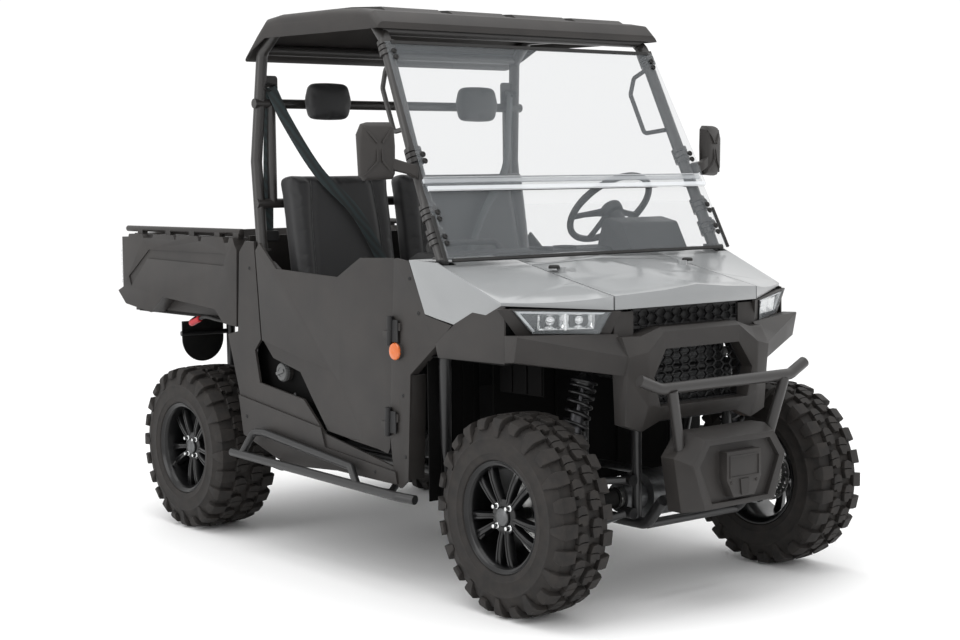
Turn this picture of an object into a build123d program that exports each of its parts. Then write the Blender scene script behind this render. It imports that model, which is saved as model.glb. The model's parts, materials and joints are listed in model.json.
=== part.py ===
"""Side-by-side utility vehicle: two seats abreast, half doors, tilting cargo bed.

Frame: +X forward, +Y to the vehicle's left, +Z up, millimetres. The origin is on
the ground, in the middle of the vehicle's length and width.
"""

from build123d import *
import os
from math import atan2, cos, degrees, hypot, radians, sin

os.makedirs("parts", exist_ok=True)

# ---- Driving dimensions -----------------------------------------------------
LENGTH = 3144
WHEELBASE = 2080
FRONT_AXLE_X = 1145
REAR_AXLE_X = FRONT_AXLE_X - WHEELBASE
TYRE_RADIUS = 343  # 27 inch tyre
AXLE_Z = TYRE_RADIUS
RIM_RADIUS = 178  # 14 inch bead seat
RIM_LIP = 12
FRONT_WHEEL_Y, FRONT_TYRE_WIDTH = 625, 228
REAR_WHEEL_Y, REAR_TYRE_WIDTH = 630, 276
KINGPIN_Y = 540
SKIN_Y = 710  # outer face of doors and side panels
SKIN = 10  # thickness of a moulded side panel
RUNNING_FIT = 0.06  # radial clearance of pins in their eyes
TUBE_RADIUS = 23  # roll cage tube
RAIL_RADIUS = 22  # chassis tube
FLOOR_Z = 455
BED_FLOOR_Z = 905
BED_REAR_X = -LENGTH / 2
BED_FRONT_X = -545
BED_PIVOT = (-1290, 845)  # x, z of the pin the bed tilts about
BED_PIN_RADIUS = 14
TAILGATE_HINGE = (-1536, 915)  # x, z of the pin the tailgate drops about
STRUT_FOOT = (-560, 470)  # x, z of the lift strut's lower pin
STRUT_EYE = (-760, 858)  # x, z of the lift strut's upper pin
STRUT_Y = 385
DOOR_HINGE_Y = 722
DOOR_HINGE_LOW = (512, 600)  # x, z of the lower door hinge
DOOR_HINGE_HIGH = (533, 930)  # x, z of the upper door hinge
HOOD_HINGE = (1340, 1035)  # x, z of the line the hood tips about
HOOD_HALF = 350  # half width of the hood
STEERING_HUB = (500, 385, 1345)
STEERING_RAKE = 45  # degrees between the steering column and the floor
GLASS_FOOT = (863, 1180)  # x, z of the windshield's lower edge
GLASS_RAKE = 27.4  # degrees the windshield leans back from upright


def save(piece, name):
    """Names one finished sub-part and writes its STEP file."""
    piece.part.label = name
    export_step(piece.part, f"parts/{name}.step")


def side_plane(y):
    """Plane facing the vehicle's right, drawn in X and Z, at one distance from the middle."""
    return Plane.XZ.offset(-y)


def add_tube(points, radius, bend=60):
    """Adds a round tube of straight runs joined by arcs to the part being built."""
    with BuildLine() as route:
        if len(points) > 2:
            FilletPolyline(*points, radius=bend)
        else:
            Line(*points)
    with BuildSketch(Plane(origin=route.line @ 0, z_dir=route.line % 0)) as section:
        Circle(radius)
    sweep(section.sketch, path=route.line)


def add_bar(start, end, width, height):
    """Adds a straight rectangular bar between two points to the part being built."""
    with BuildLine() as route:
        Line(start, end)
    across = Vector(0, 1, 0) if abs((route.line % 0).Y) < 0.9 else Vector(1, 0, 0)
    with BuildSketch(Plane(origin=start, x_dir=across, z_dir=route.line % 0)) as section:
        Rectangle(width, height)
    sweep(section.sketch, path=route.line)


def add_plate(outline, y, thickness):
    """Adds a flat plate with an X-Z outline, its outer face at y, growing inwards."""
    with BuildSketch(side_plane(y)) as section:
        with BuildLine():
            Polyline(*outline, close=True)
        make_face()
    extrude(section.sketch, amount=thickness)


def pin_plane(x, y, z):
    """Plane across the vehicle through one point, its normal along +Y."""
    return Plane(origin=(x, y, z), x_dir=(1, 0, 0), z_dir=(0, 1, 0))


# ---- Wheels -----------------------------------------------------------------
# A wheel is drawn about the Y axis with its outboard side towards +Y.
TREAD_DEPTH = 19
LUG_PITCHES = 18
SIDEWALL_RADIUS = 236  # where the tyre is widest
SHOULDER_RADIUS = 306
RIM_INSET = 10  # the rim's edge lies this far inside the tyre's
FLANGE_WIDTH = 7


def tyre_blank(width):
    """One all-terrain tyre: a revolved carcass, a band of flats and the blocks on it."""
    half = width / 2
    bead = half - RIM_INSET - FLANGE_WIDTH
    tread = half - 14
    base = TYRE_RADIUS - TREAD_DEPTH
    with BuildPart() as blank:
        with BuildSketch(Plane.XY):
            with BuildLine():
                Polyline(
                    (-bead, RIM_RADIUS),
                    (-bead, RIM_RADIUS + RIM_LIP),
                    (-half, SIDEWALL_RADIUS),
                    (-tread, SHOULDER_RADIUS),
                    (tread, SHOULDER_RADIUS),
                    (half, SIDEWALL_RADIUS),
                    (bead, RIM_RADIUS + RIM_LIP),
                    (bead, RIM_RADIUS),
                    close=True,
                )
            make_face()
        revolve(axis=Axis.X)
        turn = 360 / LUG_PITCHES
        # two flats to a pitch, so that every block seats on one
        with BuildSketch(Plane.YZ.offset(8 - tread)):
            RegularPolygon(base, 2 * LUG_PITCHES, major_radius=False, rotation=turn / 4)
        extrude(amount=2 * tread - 16)
        # axial place, radial centre, start angle, tangential, axial and radial size, skew
        blocks = (
            (22 - tread, 319, 0, 62, 50, 44, 0),
            (tread - 22, 319, turn / 2, 62, 50, 44, 0),
            (-tread * 0.34, 331, turn / 2, 50, 46, 24, 24),
            (tread * 0.34, 331, 0, 50, 46, 24, -24),
        )
        for across, radial, start, long, wide, deep, skew in blocks:
            with Locations(Plane(origin=(across, 0, 0), x_dir=(0, 1, 0), z_dir=(1, 0, 0))):
                with PolarLocations(radial, LUG_PITCHES, start_angle=start):
                    Box(deep, long, wide, rotation=(skew, 0, 0))
        with BuildSketch(Plane.YZ.offset(-half)):
            Circle(RIM_RADIUS)
        extrude(amount=width, mode=Mode.SUBTRACT)
    return blank.part


def rim_blank(width, face_depth):
    """One alloy wheel: barrel, five twin spokes, hub with cap, and its brake disc."""
    half = width / 2
    face = half - face_depth
    with BuildPart() as blank:
        with BuildSketch(Plane.XY):
            with BuildLine():
                Polyline(
                    (-half, RIM_RADIUS + RIM_LIP),
                    (-half + 5, RIM_RADIUS + RIM_LIP),
                    (-half + FLANGE_WIDTH, RIM_RADIUS),
                    (half - FLANGE_WIDTH, RIM_RADIUS),
                    (half - 5, RIM_RADIUS + RIM_LIP),
                    (half, RIM_RADIUS + RIM_LIP),
                    (half, RIM_RADIUS - 4),
                    (half - 12, RIM_RADIUS - 8),
                    (-half, RIM_RADIUS - 6),
                    close=True,
                )
            make_face()
        revolve(axis=Axis.X)
        # spokes lie in the plane of the wheel's outer face
        with BuildSketch(Plane.YZ.offset(face)):
            with PolarLocations(0, 5):
                for side in (1, -1):
                    leg = ((40, 3), (40, 22), (RIM_RADIUS - 10, 45), (RIM_RADIUS - 10, 22))
                    Polygon(*((along, side * off) for along, off in leg), align=None)
        extrude(amount=-24)
        with BuildSketch(Plane.YZ.offset(face)):
            Circle(62)
        extrude(amount=-52)
        with BuildSketch(Plane.YZ.offset(face)):
            Circle(34)
        extrude(amount=6)
        with BuildSketch(Plane.YZ.offset(face)):
            with PolarLocations(47, 4, start_angle=45):
                Circle(9)
        extrude(amount=5)
        with BuildSketch(Plane.YZ.offset(face - 52)):
            Circle(48)
        extrude(amount=-(face - 52 - DISC_Y) - DISC_THICKNESS)
        with BuildSketch(Plane.YZ.offset(DISC_Y)):
            Circle(DISC_RADIUS)
        extrude(amount=-DISC_THICKNESS)
        # bore for the spindle, open towards the vehicle
        with BuildSketch(Plane.YZ.offset(-half)):
            Circle(SPINDLE_RADIUS + RUNNING_FIT)
        extrude(amount=half + face - 30, mode=Mode.SUBTRACT)
    return blank.part


DISC_Y = -30
DISC_RADIUS = 108
DISC_THICKNESS = 6
SPINDLE_RADIUS = 20
FRONT_RIM_WIDTH = FRONT_TYRE_WIDTH - 2 * RIM_INSET
REAR_RIM_WIDTH = REAR_TYRE_WIDTH - 2 * RIM_INSET

# name, axle x, wheel y, tyre width, rim width, depth of the spoke face, degrees to turn it
WHEELS = (
    ("front_left", FRONT_AXLE_X, FRONT_WHEEL_Y, FRONT_TYRE_WIDTH, FRONT_RIM_WIDTH, 16, 90),
    ("front_right", FRONT_AXLE_X, -FRONT_WHEEL_Y, FRONT_TYRE_WIDTH, FRONT_RIM_WIDTH, 16, -90),
    ("rear_left", REAR_AXLE_X, REAR_WHEEL_Y, REAR_TYRE_WIDTH, REAR_RIM_WIDTH, 42, 90),
    ("rear_right", REAR_AXLE_X, -REAR_WHEEL_Y, REAR_TYRE_WIDTH, REAR_RIM_WIDTH, 42, -90),
)

blanks = {}
for name, axle_x, wheel_y, tyre_width, rim_width, face_depth, turn in WHEELS:
    if tyre_width not in blanks:
        blanks[tyre_width] = (tyre_blank(tyre_width), rim_blank(rim_width, face_depth))
    tyre_shape, rim_shape = blanks[tyre_width]
    with BuildPart() as tyre:
        with Locations(Location((axle_x, wheel_y, AXLE_Z), (0, 0, turn))):
            add(tyre_shape)
    save(tyre, f"tyre_{name}")
    with BuildPart() as rim:
        with Locations(Location((axle_x, wheel_y, AXLE_Z), (0, 0, turn))):
            add(rim_shape)
    save(rim, f"rim_{name}")

# ---- Front knuckles: upright, spindle, kingpins and brake caliper -------------
KINGPIN_LOW = 250
KINGPIN_HIGH = 436
KINGPIN_RADIUS = 9
EYE_RADIUS = 20
EYE_HEIGHT = 22

with BuildPart() as knuckle_left:
    with BuildSketch(pin_plane(FRONT_AXLE_X, KINGPIN_Y - 16, AXLE_Z)):
        Circle(42)
        with Locations((0, (KINGPIN_LOW + KINGPIN_HIGH) / 2 - AXLE_Z)):
            Rectangle(44, KINGPIN_HIGH - KINGPIN_LOW - EYE_HEIGHT - 24)
    extrude(amount=34)
    with BuildSketch(pin_plane(FRONT_AXLE_X, KINGPIN_Y, AXLE_Z)):
        Circle(SPINDLE_RADIUS)
    extrude(amount=FRONT_WHEEL_Y - KINGPIN_Y + FRONT_RIM_WIDTH / 2 - 16 - 40)
    with BuildSketch(Plane.XY.offset(KINGPIN_LOW - 16)):
        with Locations((FRONT_AXLE_X, KINGPIN_Y)):
            Circle(KINGPIN_RADIUS)
    extrude(amount=KINGPIN_HIGH - KINGPIN_LOW + 32)
    # cup of the outer joint, open towards the drive shaft
    with BuildSketch(pin_plane(FRONT_AXLE_X, KINGPIN_Y - 24, AXLE_Z)):
        Circle(38)
        Circle(31, mode=Mode.SUBTRACT)
    extrude(amount=9)
    # steering arm reaching back to the tie rod
    add_bar((FRONT_AXLE_X, KINGPIN_Y - 4, 300), (FRONT_AXLE_X - 105, KINGPIN_Y - 30, 300), 22, 20)
    # caliper: a block that straddles the disc behind the spindle
    caliper_y = FRONT_WHEEL_Y + DISC_Y - DISC_THICKNESS / 2
    with BuildSketch(pin_plane(FRONT_AXLE_X, caliper_y - 34, AXLE_Z)):
        with Locations((-108, 14)):
            RectangleRounded(52, 96, 12)
    extrude(amount=58)
    with BuildSketch(pin_plane(FRONT_AXLE_X, caliper_y - 8.5, AXLE_Z)):
        Circle(DISC_RADIUS + 6)
        Circle(60, mode=Mode.SUBTRACT)
    extrude(amount=17, mode=Mode.SUBTRACT)
    with BuildSketch(pin_plane(FRONT_AXLE_X, KINGPIN_Y - 10, AXLE_Z)):
        with Locations((-62, 0)):
            Rectangle(84, 30)
    extrude(amount=30)
save(knuckle_left, "knuckle_left")

with BuildPart() as knuckle_right:
    mirror(knuckle_left.part, about=Plane.XZ)
save(knuckle_right, "knuckle_right")

# ---- Suspension arms, fixed at ride height -----------------------------------
PIVOT_Y = 262
ARM_RADIUS = 13
REAR_HUB_Y = 548
SHOCK_FOOT_Y = 428
# axle x, y of the outer eye, then (z at the pivot, z at the eye) for each arm
SUSPENSION = (
    (FRONT_AXLE_X, KINGPIN_Y, ((318, KINGPIN_LOW), (432, KINGPIN_HIGH))),
    (REAR_AXLE_X, REAR_HUB_Y, ((318, KINGPIN_LOW), (432, KINGPIN_HIGH))),
)

with BuildPart() as suspension_arms:
    for axle_x, eye_y, arms in SUSPENSION:
        for pivot_z, eye_z in arms:
            for reach in (-135, 135):
                foot = (axle_x + reach, PIVOT_Y, pivot_z)
                add_tube((foot, (axle_x + 0.05 * reach, eye_y - 15, eye_z)), ARM_RADIUS)
                with BuildSketch(Plane.YZ.offset(foot[0] - 24)):
                    with Locations((PIVOT_Y, pivot_z)):
                        Circle(19)
                extrude(amount=48)
            with BuildSketch(Plane.XY.offset(eye_z - EYE_HEIGHT / 2)):
                with Locations((axle_x, eye_y)):
                    Circle(EYE_RADIUS)
            extrude(amount=EYE_HEIGHT)
            with BuildSketch(Plane.XY.offset(eye_z - 30)):
                with Locations((axle_x, eye_y)):
                    Circle(KINGPIN_RADIUS + RUNNING_FIT)
            extrude(amount=60, mode=Mode.SUBTRACT)
        # saddle between the upper arm's legs for the shock's lower eye
        add_tube(((axle_x - 52, SHOCK_FOOT_Y, 435), (axle_x + 52, SHOCK_FOOT_Y, 435)), 11)
        with Locations((axle_x, SHOCK_FOOT_Y, 450)):
            Box(34, 44, 34)
    mirror(about=Plane.XZ)
save(suspension_arms, "suspension_arms")

# ---- Rear hub carriers: fixed uprights with their spindles ---------------------
with BuildPart() as rear_hubs:
    with BuildSketch(pin_plane(REAR_AXLE_X, REAR_HUB_Y - 16, AXLE_Z)):
        Circle(42)
        with Locations((0, (KINGPIN_LOW + KINGPIN_HIGH) / 2 - AXLE_Z)):
            Rectangle(44, KINGPIN_HIGH - KINGPIN_LOW - EYE_HEIGHT - 0.4)
    extrude(amount=34)
    with BuildSketch(pin_plane(REAR_AXLE_X, REAR_HUB_Y, AXLE_Z)):
        Circle(SPINDLE_RADIUS)
    extrude(amount=REAR_WHEEL_Y - REAR_HUB_Y + REAR_RIM_WIDTH / 2 - 42 - 40)
    mirror(about=Plane.XZ)
    add(suspension_arms.part, mode=Mode.SUBTRACT)
save(rear_hubs, "rear_hubs")

# ---- Coil-over shock absorbers -------------------------------------------------
COIL_TURNS = 7
COIL_RADIUS = 48
# x and y of the lower eye, z of the lower eye, x, y and z of the upper eye
SHOCKS = (
    ((FRONT_AXLE_X, SHOCK_FOOT_Y, 456), (FRONT_AXLE_X, 330, 812)),
    ((REAR_AXLE_X, SHOCK_FOOT_Y, 456), (REAR_AXLE_X, 356, 806)),
)


def add_shock(foot, head):
    """Adds one coil-over: damper body, rod, two spring seats and a ribbed coil."""
    along = (Vector(head) - Vector(foot)).normalized()
    reach = (Vector(head) - Vector(foot)).length
    across = Vector(0, 1, 0).cross(along).normalized()
    coil_low, coil_high = 76, reach - 62
    pitch = (coil_high - coil_low) / COIL_TURNS
    ribs = []
    for turn_index in range(COIL_TURNS):
        start = coil_low + turn_index * pitch
        ribs += [(36, start), (COIL_RADIUS, start + 0.3 * pitch), (COIL_RADIUS, start + 0.55 * pitch)]
        ribs += [(36, start + 0.85 * pitch)]
    section = Plane(origin=foot, x_dir=across, z_dir=across.cross(along))  # its Y runs up the shock
    with BuildSketch(section) as outline:
        with BuildLine():
            Polyline(
                (0, 0),
                (17, 0),
                (17, 26),
                (26, 34),
                (26, coil_low - 14),
                (COIL_RADIUS, coil_low - 10),
                (COIL_RADIUS, coil_low),
                *ribs,
                (36, coil_high),
                (COIL_RADIUS, coil_high),
                (COIL_RADIUS, coil_high + 10),
                (20, coil_high + 14),
                (20, reach),
                (0, reach),
                close=True,
            )
        make_face()
    revolve(outline.sketch, axis=Axis(foot, along))


with BuildPart() as shocks:
    for foot, head in SHOCKS:
        add_shock(foot, head)
    mirror(about=Plane.XZ)
    add(suspension_arms.part, mode=Mode.SUBTRACT)
save(shocks, "shocks")

# ---- Drive shafts from the two final drives to the hubs -------------------------
SHAFT_RADIUS = 14
SHAFT_IN = 186
SHAFT_STUB_RADIUS = 11
# axle x, y of the outer boot's end, its radius, y where the stub shaft ends
SHAFTS = (
    (FRONT_AXLE_X, KINGPIN_Y - 48, 31, KINGPIN_Y - 30),
    (REAR_AXLE_X, REAR_HUB_Y - 22, 38, REAR_HUB_Y - 16),
)

with BuildPart() as drive_shafts:
    for axle_x, boot_y, boot_radius, stub_y in SHAFTS:
        with BuildSketch(Plane(origin=(axle_x, 0, AXLE_Z), x_dir=(0, 1, 0), z_dir=(-1, 0, 0))):
            with BuildLine():
                Polyline(
                    (SHAFT_IN, 0),
                    (SHAFT_IN, -40),
                    (SHAFT_IN + 45, -40),
                    (SHAFT_IN + 70, -30),
                    (SHAFT_IN + 120, -SHAFT_RADIUS),
                    (boot_y - 90, -SHAFT_RADIUS),
                    (boot_y - 56, -0.8 * boot_radius),
                    (boot_y - 20, -boot_radius),
                    (boot_y, -boot_radius),
                    (boot_y, -SHAFT_STUB_RADIUS),
                    (stub_y, -SHAFT_STUB_RADIUS),
                    (stub_y, 0),
                    close=True,
                )
            make_face()
        revolve(axis=Axis((axle_x, 0, AXLE_Z), (0, 1, 0)))
    mirror(about=Plane.XZ)
save(drive_shafts, "drive_shafts")

# ---- Chassis: lower ladder, rear bed supports and hitch ---------------------------
LADDER_Y = 222
LADDER_Z = 340
LADDER_LOW_Z = 281  # where the rails pass under the drive shafts
LADDER_RADIUS = 20
POST_RADIUS = 18
CROSS_RAIL_RADIUS = 16
BED_SUPPORT_Y = 300
RECEIVER_Z = 420
RECEIVER_HALF = 25.4  # 2 inch square receiver
RECEIVER_PIN_X = -1372
RECEIVER_PIN_RADIUS = 8
SPLASH_X = -1316

with BuildPart() as chassis_rear:
    add_tube(
        (
            (600, LADDER_Y, LADDER_Z),
            (-560, LADDER_Y, LADDER_Z),
            (-760, LADDER_Y, LADDER_LOW_Z),
            (-1150, LADDER_Y, LADDER_LOW_Z),
            (-1290, LADDER_Y, 420),
            (BED_PIVOT[0], BED_SUPPORT_Y, 640),
            (BED_PIVOT[0], BED_SUPPORT_Y, BED_PIVOT[1]),
        ),
        LADDER_RADIUS,
        bend=50,
    )
    add_tube(
        ((BED_PIVOT[0], BED_SUPPORT_Y, BED_PIVOT[1]), (-520, BED_SUPPORT_Y, BED_PIVOT[1])),
        RAIL_RADIUS,
    )
    for post_x, foot_z in ((-520, LADDER_Z), (-798, LADDER_LOW_Z), (-1072, LADDER_LOW_Z)):
        add_tube(((post_x, LADDER_Y, foot_z), (post_x, BED_SUPPORT_Y, BED_PIVOT[1])), POST_RADIUS)
    mirror(about=Plane.XZ)
    for cross_x, half, cross_z in (
        (BED_PIVOT[0], BED_SUPPORT_Y, BED_PIVOT[1]),
        (-520, BED_SUPPORT_Y, BED_PIVOT[1]),
        (-1290, LADDER_Y, RECEIVER_Z),
        (-480, LADDER_Y, LADDER_Z),
        (560, LADDER_Y, LADDER_Z),
    ):
        radius = CROSS_RAIL_RADIUS if cross_x != BED_PIVOT[0] else BED_PIN_RADIUS
        add_tube(((cross_x, -half, cross_z), (cross_x, half, cross_z)), radius)
    for side in (1, -1):
        # shock head brackets outside the bed supports
        with Locations((REAR_AXLE_X, side * 344, 825)):
            Box(60, 68, 44)
        # bars that carry the splash guards
        add_tube(((BED_PIVOT[0], side * BED_SUPPORT_Y, 790), (SPLASH_X, side * 540, 790)), 11)
    # strut foot bracket on the left rail
    add_bar((STRUT_FOOT[0], LADDER_Y, LADDER_Z), (STRUT_FOOT[0], STRUT_Y - 34, STRUT_FOOT[1]), 34, 34)
    with BuildSketch(pin_plane(STRUT_FOOT[0], STRUT_Y - 44, STRUT_FOOT[1])):
        Circle(20)
    extrude(amount=26)
    with BuildSketch(pin_plane(STRUT_FOOT[0], STRUT_Y - 30, STRUT_FOOT[1])):
        Circle(7)
    extrude(amount=48)
    # hitch receiver tube
    with BuildSketch(Plane.YZ.offset(-1420)):
        with Locations((0, RECEIVER_Z)):
            Rectangle(2 * RECEIVER_HALF + 12.7, 2 * RECEIVER_HALF + 12.7)
    extrude(amount=250)
    with BuildSketch(Plane.YZ.offset(-1420)):
        with Locations((0, RECEIVER_Z)):
            Rectangle(2 * RECEIVER_HALF, 2 * RECEIVER_HALF)
    extrude(amount=190, mode=Mode.SUBTRACT)
    with BuildSketch(pin_plane(RECEIVER_PIN_X, -60, RECEIVER_Z)):
        Circle(RECEIVER_PIN_RADIUS)
    extrude(amount=120, mode=Mode.SUBTRACT)
    add(suspension_arms.part, mode=Mode.SUBTRACT)
    add(shocks.part, mode=Mode.SUBTRACT)
save(chassis_rear, "chassis_rear")

# ---- Chassis: front bulkhead --------------------------------------------------
NOSE_RAIL_Y = 224

with BuildPart() as chassis_front:
    add_tube(
        (
            (600.5, LADDER_Y, LADDER_Z),
            (760, NOSE_RAIL_Y, LADDER_Z),
            (930, NOSE_RAIL_Y, LADDER_LOW_Z),
            (1330, NOSE_RAIL_Y, LADDER_LOW_Z),
            (1405, NOSE_RAIL_Y, 370),
        ),
        LADDER_RADIUS,
        bend=60,
    )
    for post_x in (FRONT_AXLE_X - 135, FRONT_AXLE_X + 135):
        add_tube(((post_x, NOSE_RAIL_Y, LADDER_LOW_Z), (post_x, NOSE_RAIL_Y, 800)), POST_RADIUS)
    add_tube(((746, NOSE_RAIL_Y, 800), (1300, NOSE_RAIL_Y, 800)), LADDER_RADIUS)
    add_tube(((760, NOSE_RAIL_Y, LADDER_Z), (760, NOSE_RAIL_Y, 812)), POST_RADIUS)
    mirror(about=Plane.XZ)
    for cross_x, cross_z in ((930, LADDER_LOW_Z), (1330, LADDER_LOW_Z), (1010, 800), (1280, 800)):
        add_tube(((cross_x, -NOSE_RAIL_Y, cross_z), (cross_x, NOSE_RAIL_Y, cross_z)), CROSS_RAIL_RADIUS)
    add_tube(((1405, -NOSE_RAIL_Y, 370), (1405, NOSE_RAIL_Y, 370)), LADDER_RADIUS)
    # shock towers
    for side in (1, -1):
        with BuildSketch(Plane.YZ.offset(FRONT_AXLE_X - 42)):
            with BuildLine():
                Polyline(
                    (side * 225, 800),
                    (side * 300, 838),
                    (side * 345, 838),
                    (side * 345, 826),
                    (side * 225, 770),
                    close=True,
                )
            make_face()
        extrude(amount=84)
    add(suspension_arms.part, mode=Mode.SUBTRACT)
    add(shocks.part, mode=Mode.SUBTRACT)
save(chassis_front, "chassis_front")

CAGE_FOOT_Z = 1190

# ---- Cab frame: sill tubes and posts that carry the roll cage --------------------
with BuildPart() as cab_frame:
    add_tube(((-470, 600, 430), (690, 600, 430)), RAIL_RADIUS)
    add_tube(((690, 600, 430), (760, 648, 900), (789, 678, 1215)), RAIL_RADIUS, bend=80)
    add_tube(((-440, 600, 430), (-440, 640, 1000), (-393, 676, 1215)), RAIL_RADIUS, bend=80)
    for cross_x in (-300, 180, 560):
        add_tube(((cross_x, LADDER_Y, LADDER_Z), (cross_x, 600, 430)), CROSS_RAIL_RADIUS)
    # the posts end level, under the cage's foot plates
    with Locations((200, 640, CAGE_FOOT_Z + 50)):
        Box(1400, 200, 100, mode=Mode.SUBTRACT)
    mirror(about=Plane.XZ)
    add(chassis_rear.part, mode=Mode.SUBTRACT)
save(cab_frame, "cab_frame")

# ---- Cab floor: pan, toe board and firewall in one pressing ----------------------
FLOOR_HALF = 628
FLOOR_THICK = 6
FIREWALL_X = 690

with BuildPart() as cab_floor:
    # x, z along the pan, from under the seat to the top of the firewall
    pan = ((-470, FLOOR_Z), (520, FLOOR_Z), (640, 560), (FIREWALL_X, 720), (FIREWALL_X, 1120))
    inner = tuple((x - FLOOR_THICK, z + FLOOR_THICK) for x, z in reversed(pan))
    add_plate((*pan, *inner), FLOOR_HALF, 2 * FLOOR_HALF)
    for rib_y in range(-500, 501, 125):
        with Locations((240, rib_y, FLOOR_Z + FLOOR_THICK + 2)):
            Box(480, 26, 8)
    # room for the cage posts that rise through the corners of the pan
    add(cab_frame.part, mode=Mode.SUBTRACT)
save(cab_floor, "cab_floor")

# ---- Seat base: moulded box with a sloping front -----------------------------------
SEAT_TOP_Z = 800
SEAT_BASE_HALF = 590

with BuildPart() as seat_base:
    add_plate(
        ((-500, FLOOR_Z + 16), (20, FLOOR_Z + 16), (60, SEAT_TOP_Z - 30), (40, SEAT_TOP_Z), (-500, SEAT_TOP_Z)),
        SEAT_BASE_HALF,
        2 * SEAT_BASE_HALF,
    )
    for cut_y in (-370, 0, 370):
        with Locations((60, cut_y, 640)):
            Box(60, 260, 170, mode=Mode.SUBTRACT)
    add(cab_frame.part, mode=Mode.SUBTRACT)
save(seat_base, "seat_base")

# ---- Seats: 40/60 bench, cushions, backs and headrests --------------------------------
BACK_LEAN = 9
# name, y of the middle, width
SEATS = (("right", -365, 526), ("left", 273, 716))

with BuildPart() as seat_cushions:
    for name, middle, width in SEATS:
        with Locations((-62, middle, SEAT_TOP_Z + 56)):
            Box(450, width, 110)
    fillet(seat_cushions.edges(), 26)
save(seat_cushions, "seat_cushions")

with BuildPart() as seat_backs:
    for name, middle, width in SEATS:
        with Locations(Location((-290, middle, 1214), (0, -BACK_LEAN, 0))):
            Box(104, width, 590)
    fillet(seat_backs.edges(), 26)
save(seat_backs, "seat_backs")

HEADREST_X = -352
HEADREST_Y = 385
HEADREST_Z = 1784

with BuildPart() as headrests:
    with BuildSketch(Plane.YZ.offset(HEADREST_X - 20)):
        with Locations((HEADREST_Y, HEADREST_Z)):
            Polygon((-118, 0), (-96, 84), (96, 84), (118, 0), (96, -84), (-96, -84), align=None)
    extrude(amount=72)
    fillet(headrests.edges(), 16)
    mirror(about=Plane.XZ)
save(headrests, "headrests")

# ---- Windshield: two polycarbonate panels lapped at mid height ------------------------
glass_normal = (cos(radians(GLASS_RAKE)), 0, sin(radians(GLASS_RAKE)))
glass_plane = Plane(origin=(GLASS_FOOT[0], 0, GLASS_FOOT[1]), x_dir=(0, 1, 0), z_dir=glass_normal)
GLASS_THICK = 5
GLASS_LAP = 14  # the lower panel lies this far behind the upper one
GLASS_LAP_Z = 1565  # height of the lap
# distance up the slope: lower edge, upper edge, half width at each, offset behind the outer face
GLASS_PANELS = ((16, 446, 702, 690, GLASS_LAP), (428, 882, 690, 664, 0))

with BuildPart() as windshield:
    for low, high, half_low, half_high, behind in GLASS_PANELS:
        with BuildSketch(glass_plane.offset(-behind)) as pane:
            with BuildLine():
                Polyline((-half_low, low), (half_low, low), (half_high, high), (-half_high, high), close=True)
            make_face()
            fillet(pane.vertices(), 16)
        extrude(amount=-GLASS_THICK)
save(windshield, "windshield")

# ---- Roll cage ---------------------------------------------------------------------
# x, y, z along the left side tube, from the front foot over the roof to the rear foot
CAGE_SIDE = (
    (794, 676, CAGE_FOOT_Z - 15),
    (668, 670, 1440),
    (424, 645, 1975),
    (340, 640, 2056),
    (-290, 640, 2066),
    (-398, 652, 1975),
    (-434, 668, 1545),
    (-396, 672, CAGE_FOOT_Z - 15),
)
CROSS_X = -408
CROSS_RADIUS = 19
UPPER_CROSS_Z = 1775
LOWER_CROSS_Z = 1378
SLEEVE_RADIUS = 31

with BuildPart() as rops_left:
    add_tube(CAGE_SIDE, TUBE_RADIUS, bend=48)
    # foot plates bolted to the cab frame
    with BuildSketch(Plane.XY.offset(CAGE_FOOT_Z)):
        with Locations((787, 672), (-398, 672)):
            RectangleRounded(76, 46, 12)
    extrude(amount=8)
    with Locations((200, 672, CAGE_FOOT_Z - 50)):
        Box(1400, 120, 100, mode=Mode.SUBTRACT)
    # thin grab handle inside the front pillar
    add_tube(
        ((463, 634, 1900), (395, 622, 1865), (375, 622, 1800), (450, 628, 1640), (560, 640, 1652)),
        9,
        bend=22,
    )
    # ribbed clamp sleeves that hold the windshield off the front pillar
    for run, sleeve_z in ((1, 1938), (1, 1548), (0, 1350), (0, 1265)):
        low, high = Vector(CAGE_SIDE[run]), Vector(CAGE_SIDE[run + 1])
        along = (high - low).normalized()
        middle = low + (high - low) * ((sleeve_z - low.Z) / (high.Z - low.Z))
        for step in (-21, 0, 21):
            ring = middle + along * (step - 8)
            with BuildSketch(Plane(origin=ring, z_dir=along)):
                Circle(SLEEVE_RADIUS)
            extrude(amount=16)
        # stand-off between the sleeve and the back of the glass
        behind = GLASS_LAP if sleeve_z < GLASS_LAP_Z else 0
        gap = (glass_plane.origin - middle).dot(glass_plane.z_dir) - behind - GLASS_THICK
        with BuildSketch(Plane(origin=middle, x_dir=(0, 1, 0), z_dir=glass_plane.z_dir)):
            Circle(13)
        extrude(amount=gap)
    # the top sleeve is cut back to the glass
    with BuildSketch(glass_plane.offset(-GLASS_THICK)):
        Rectangle(1600, 2400)
    extrude(amount=60, mode=Mode.SUBTRACT)
    add(windshield.part, mode=Mode.SUBTRACT)
save(rops_left, "rops_left")

with BuildPart() as rops_right:
    mirror(rops_left.part, about=Plane.XZ)
save(rops_right, "rops_right")

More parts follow.
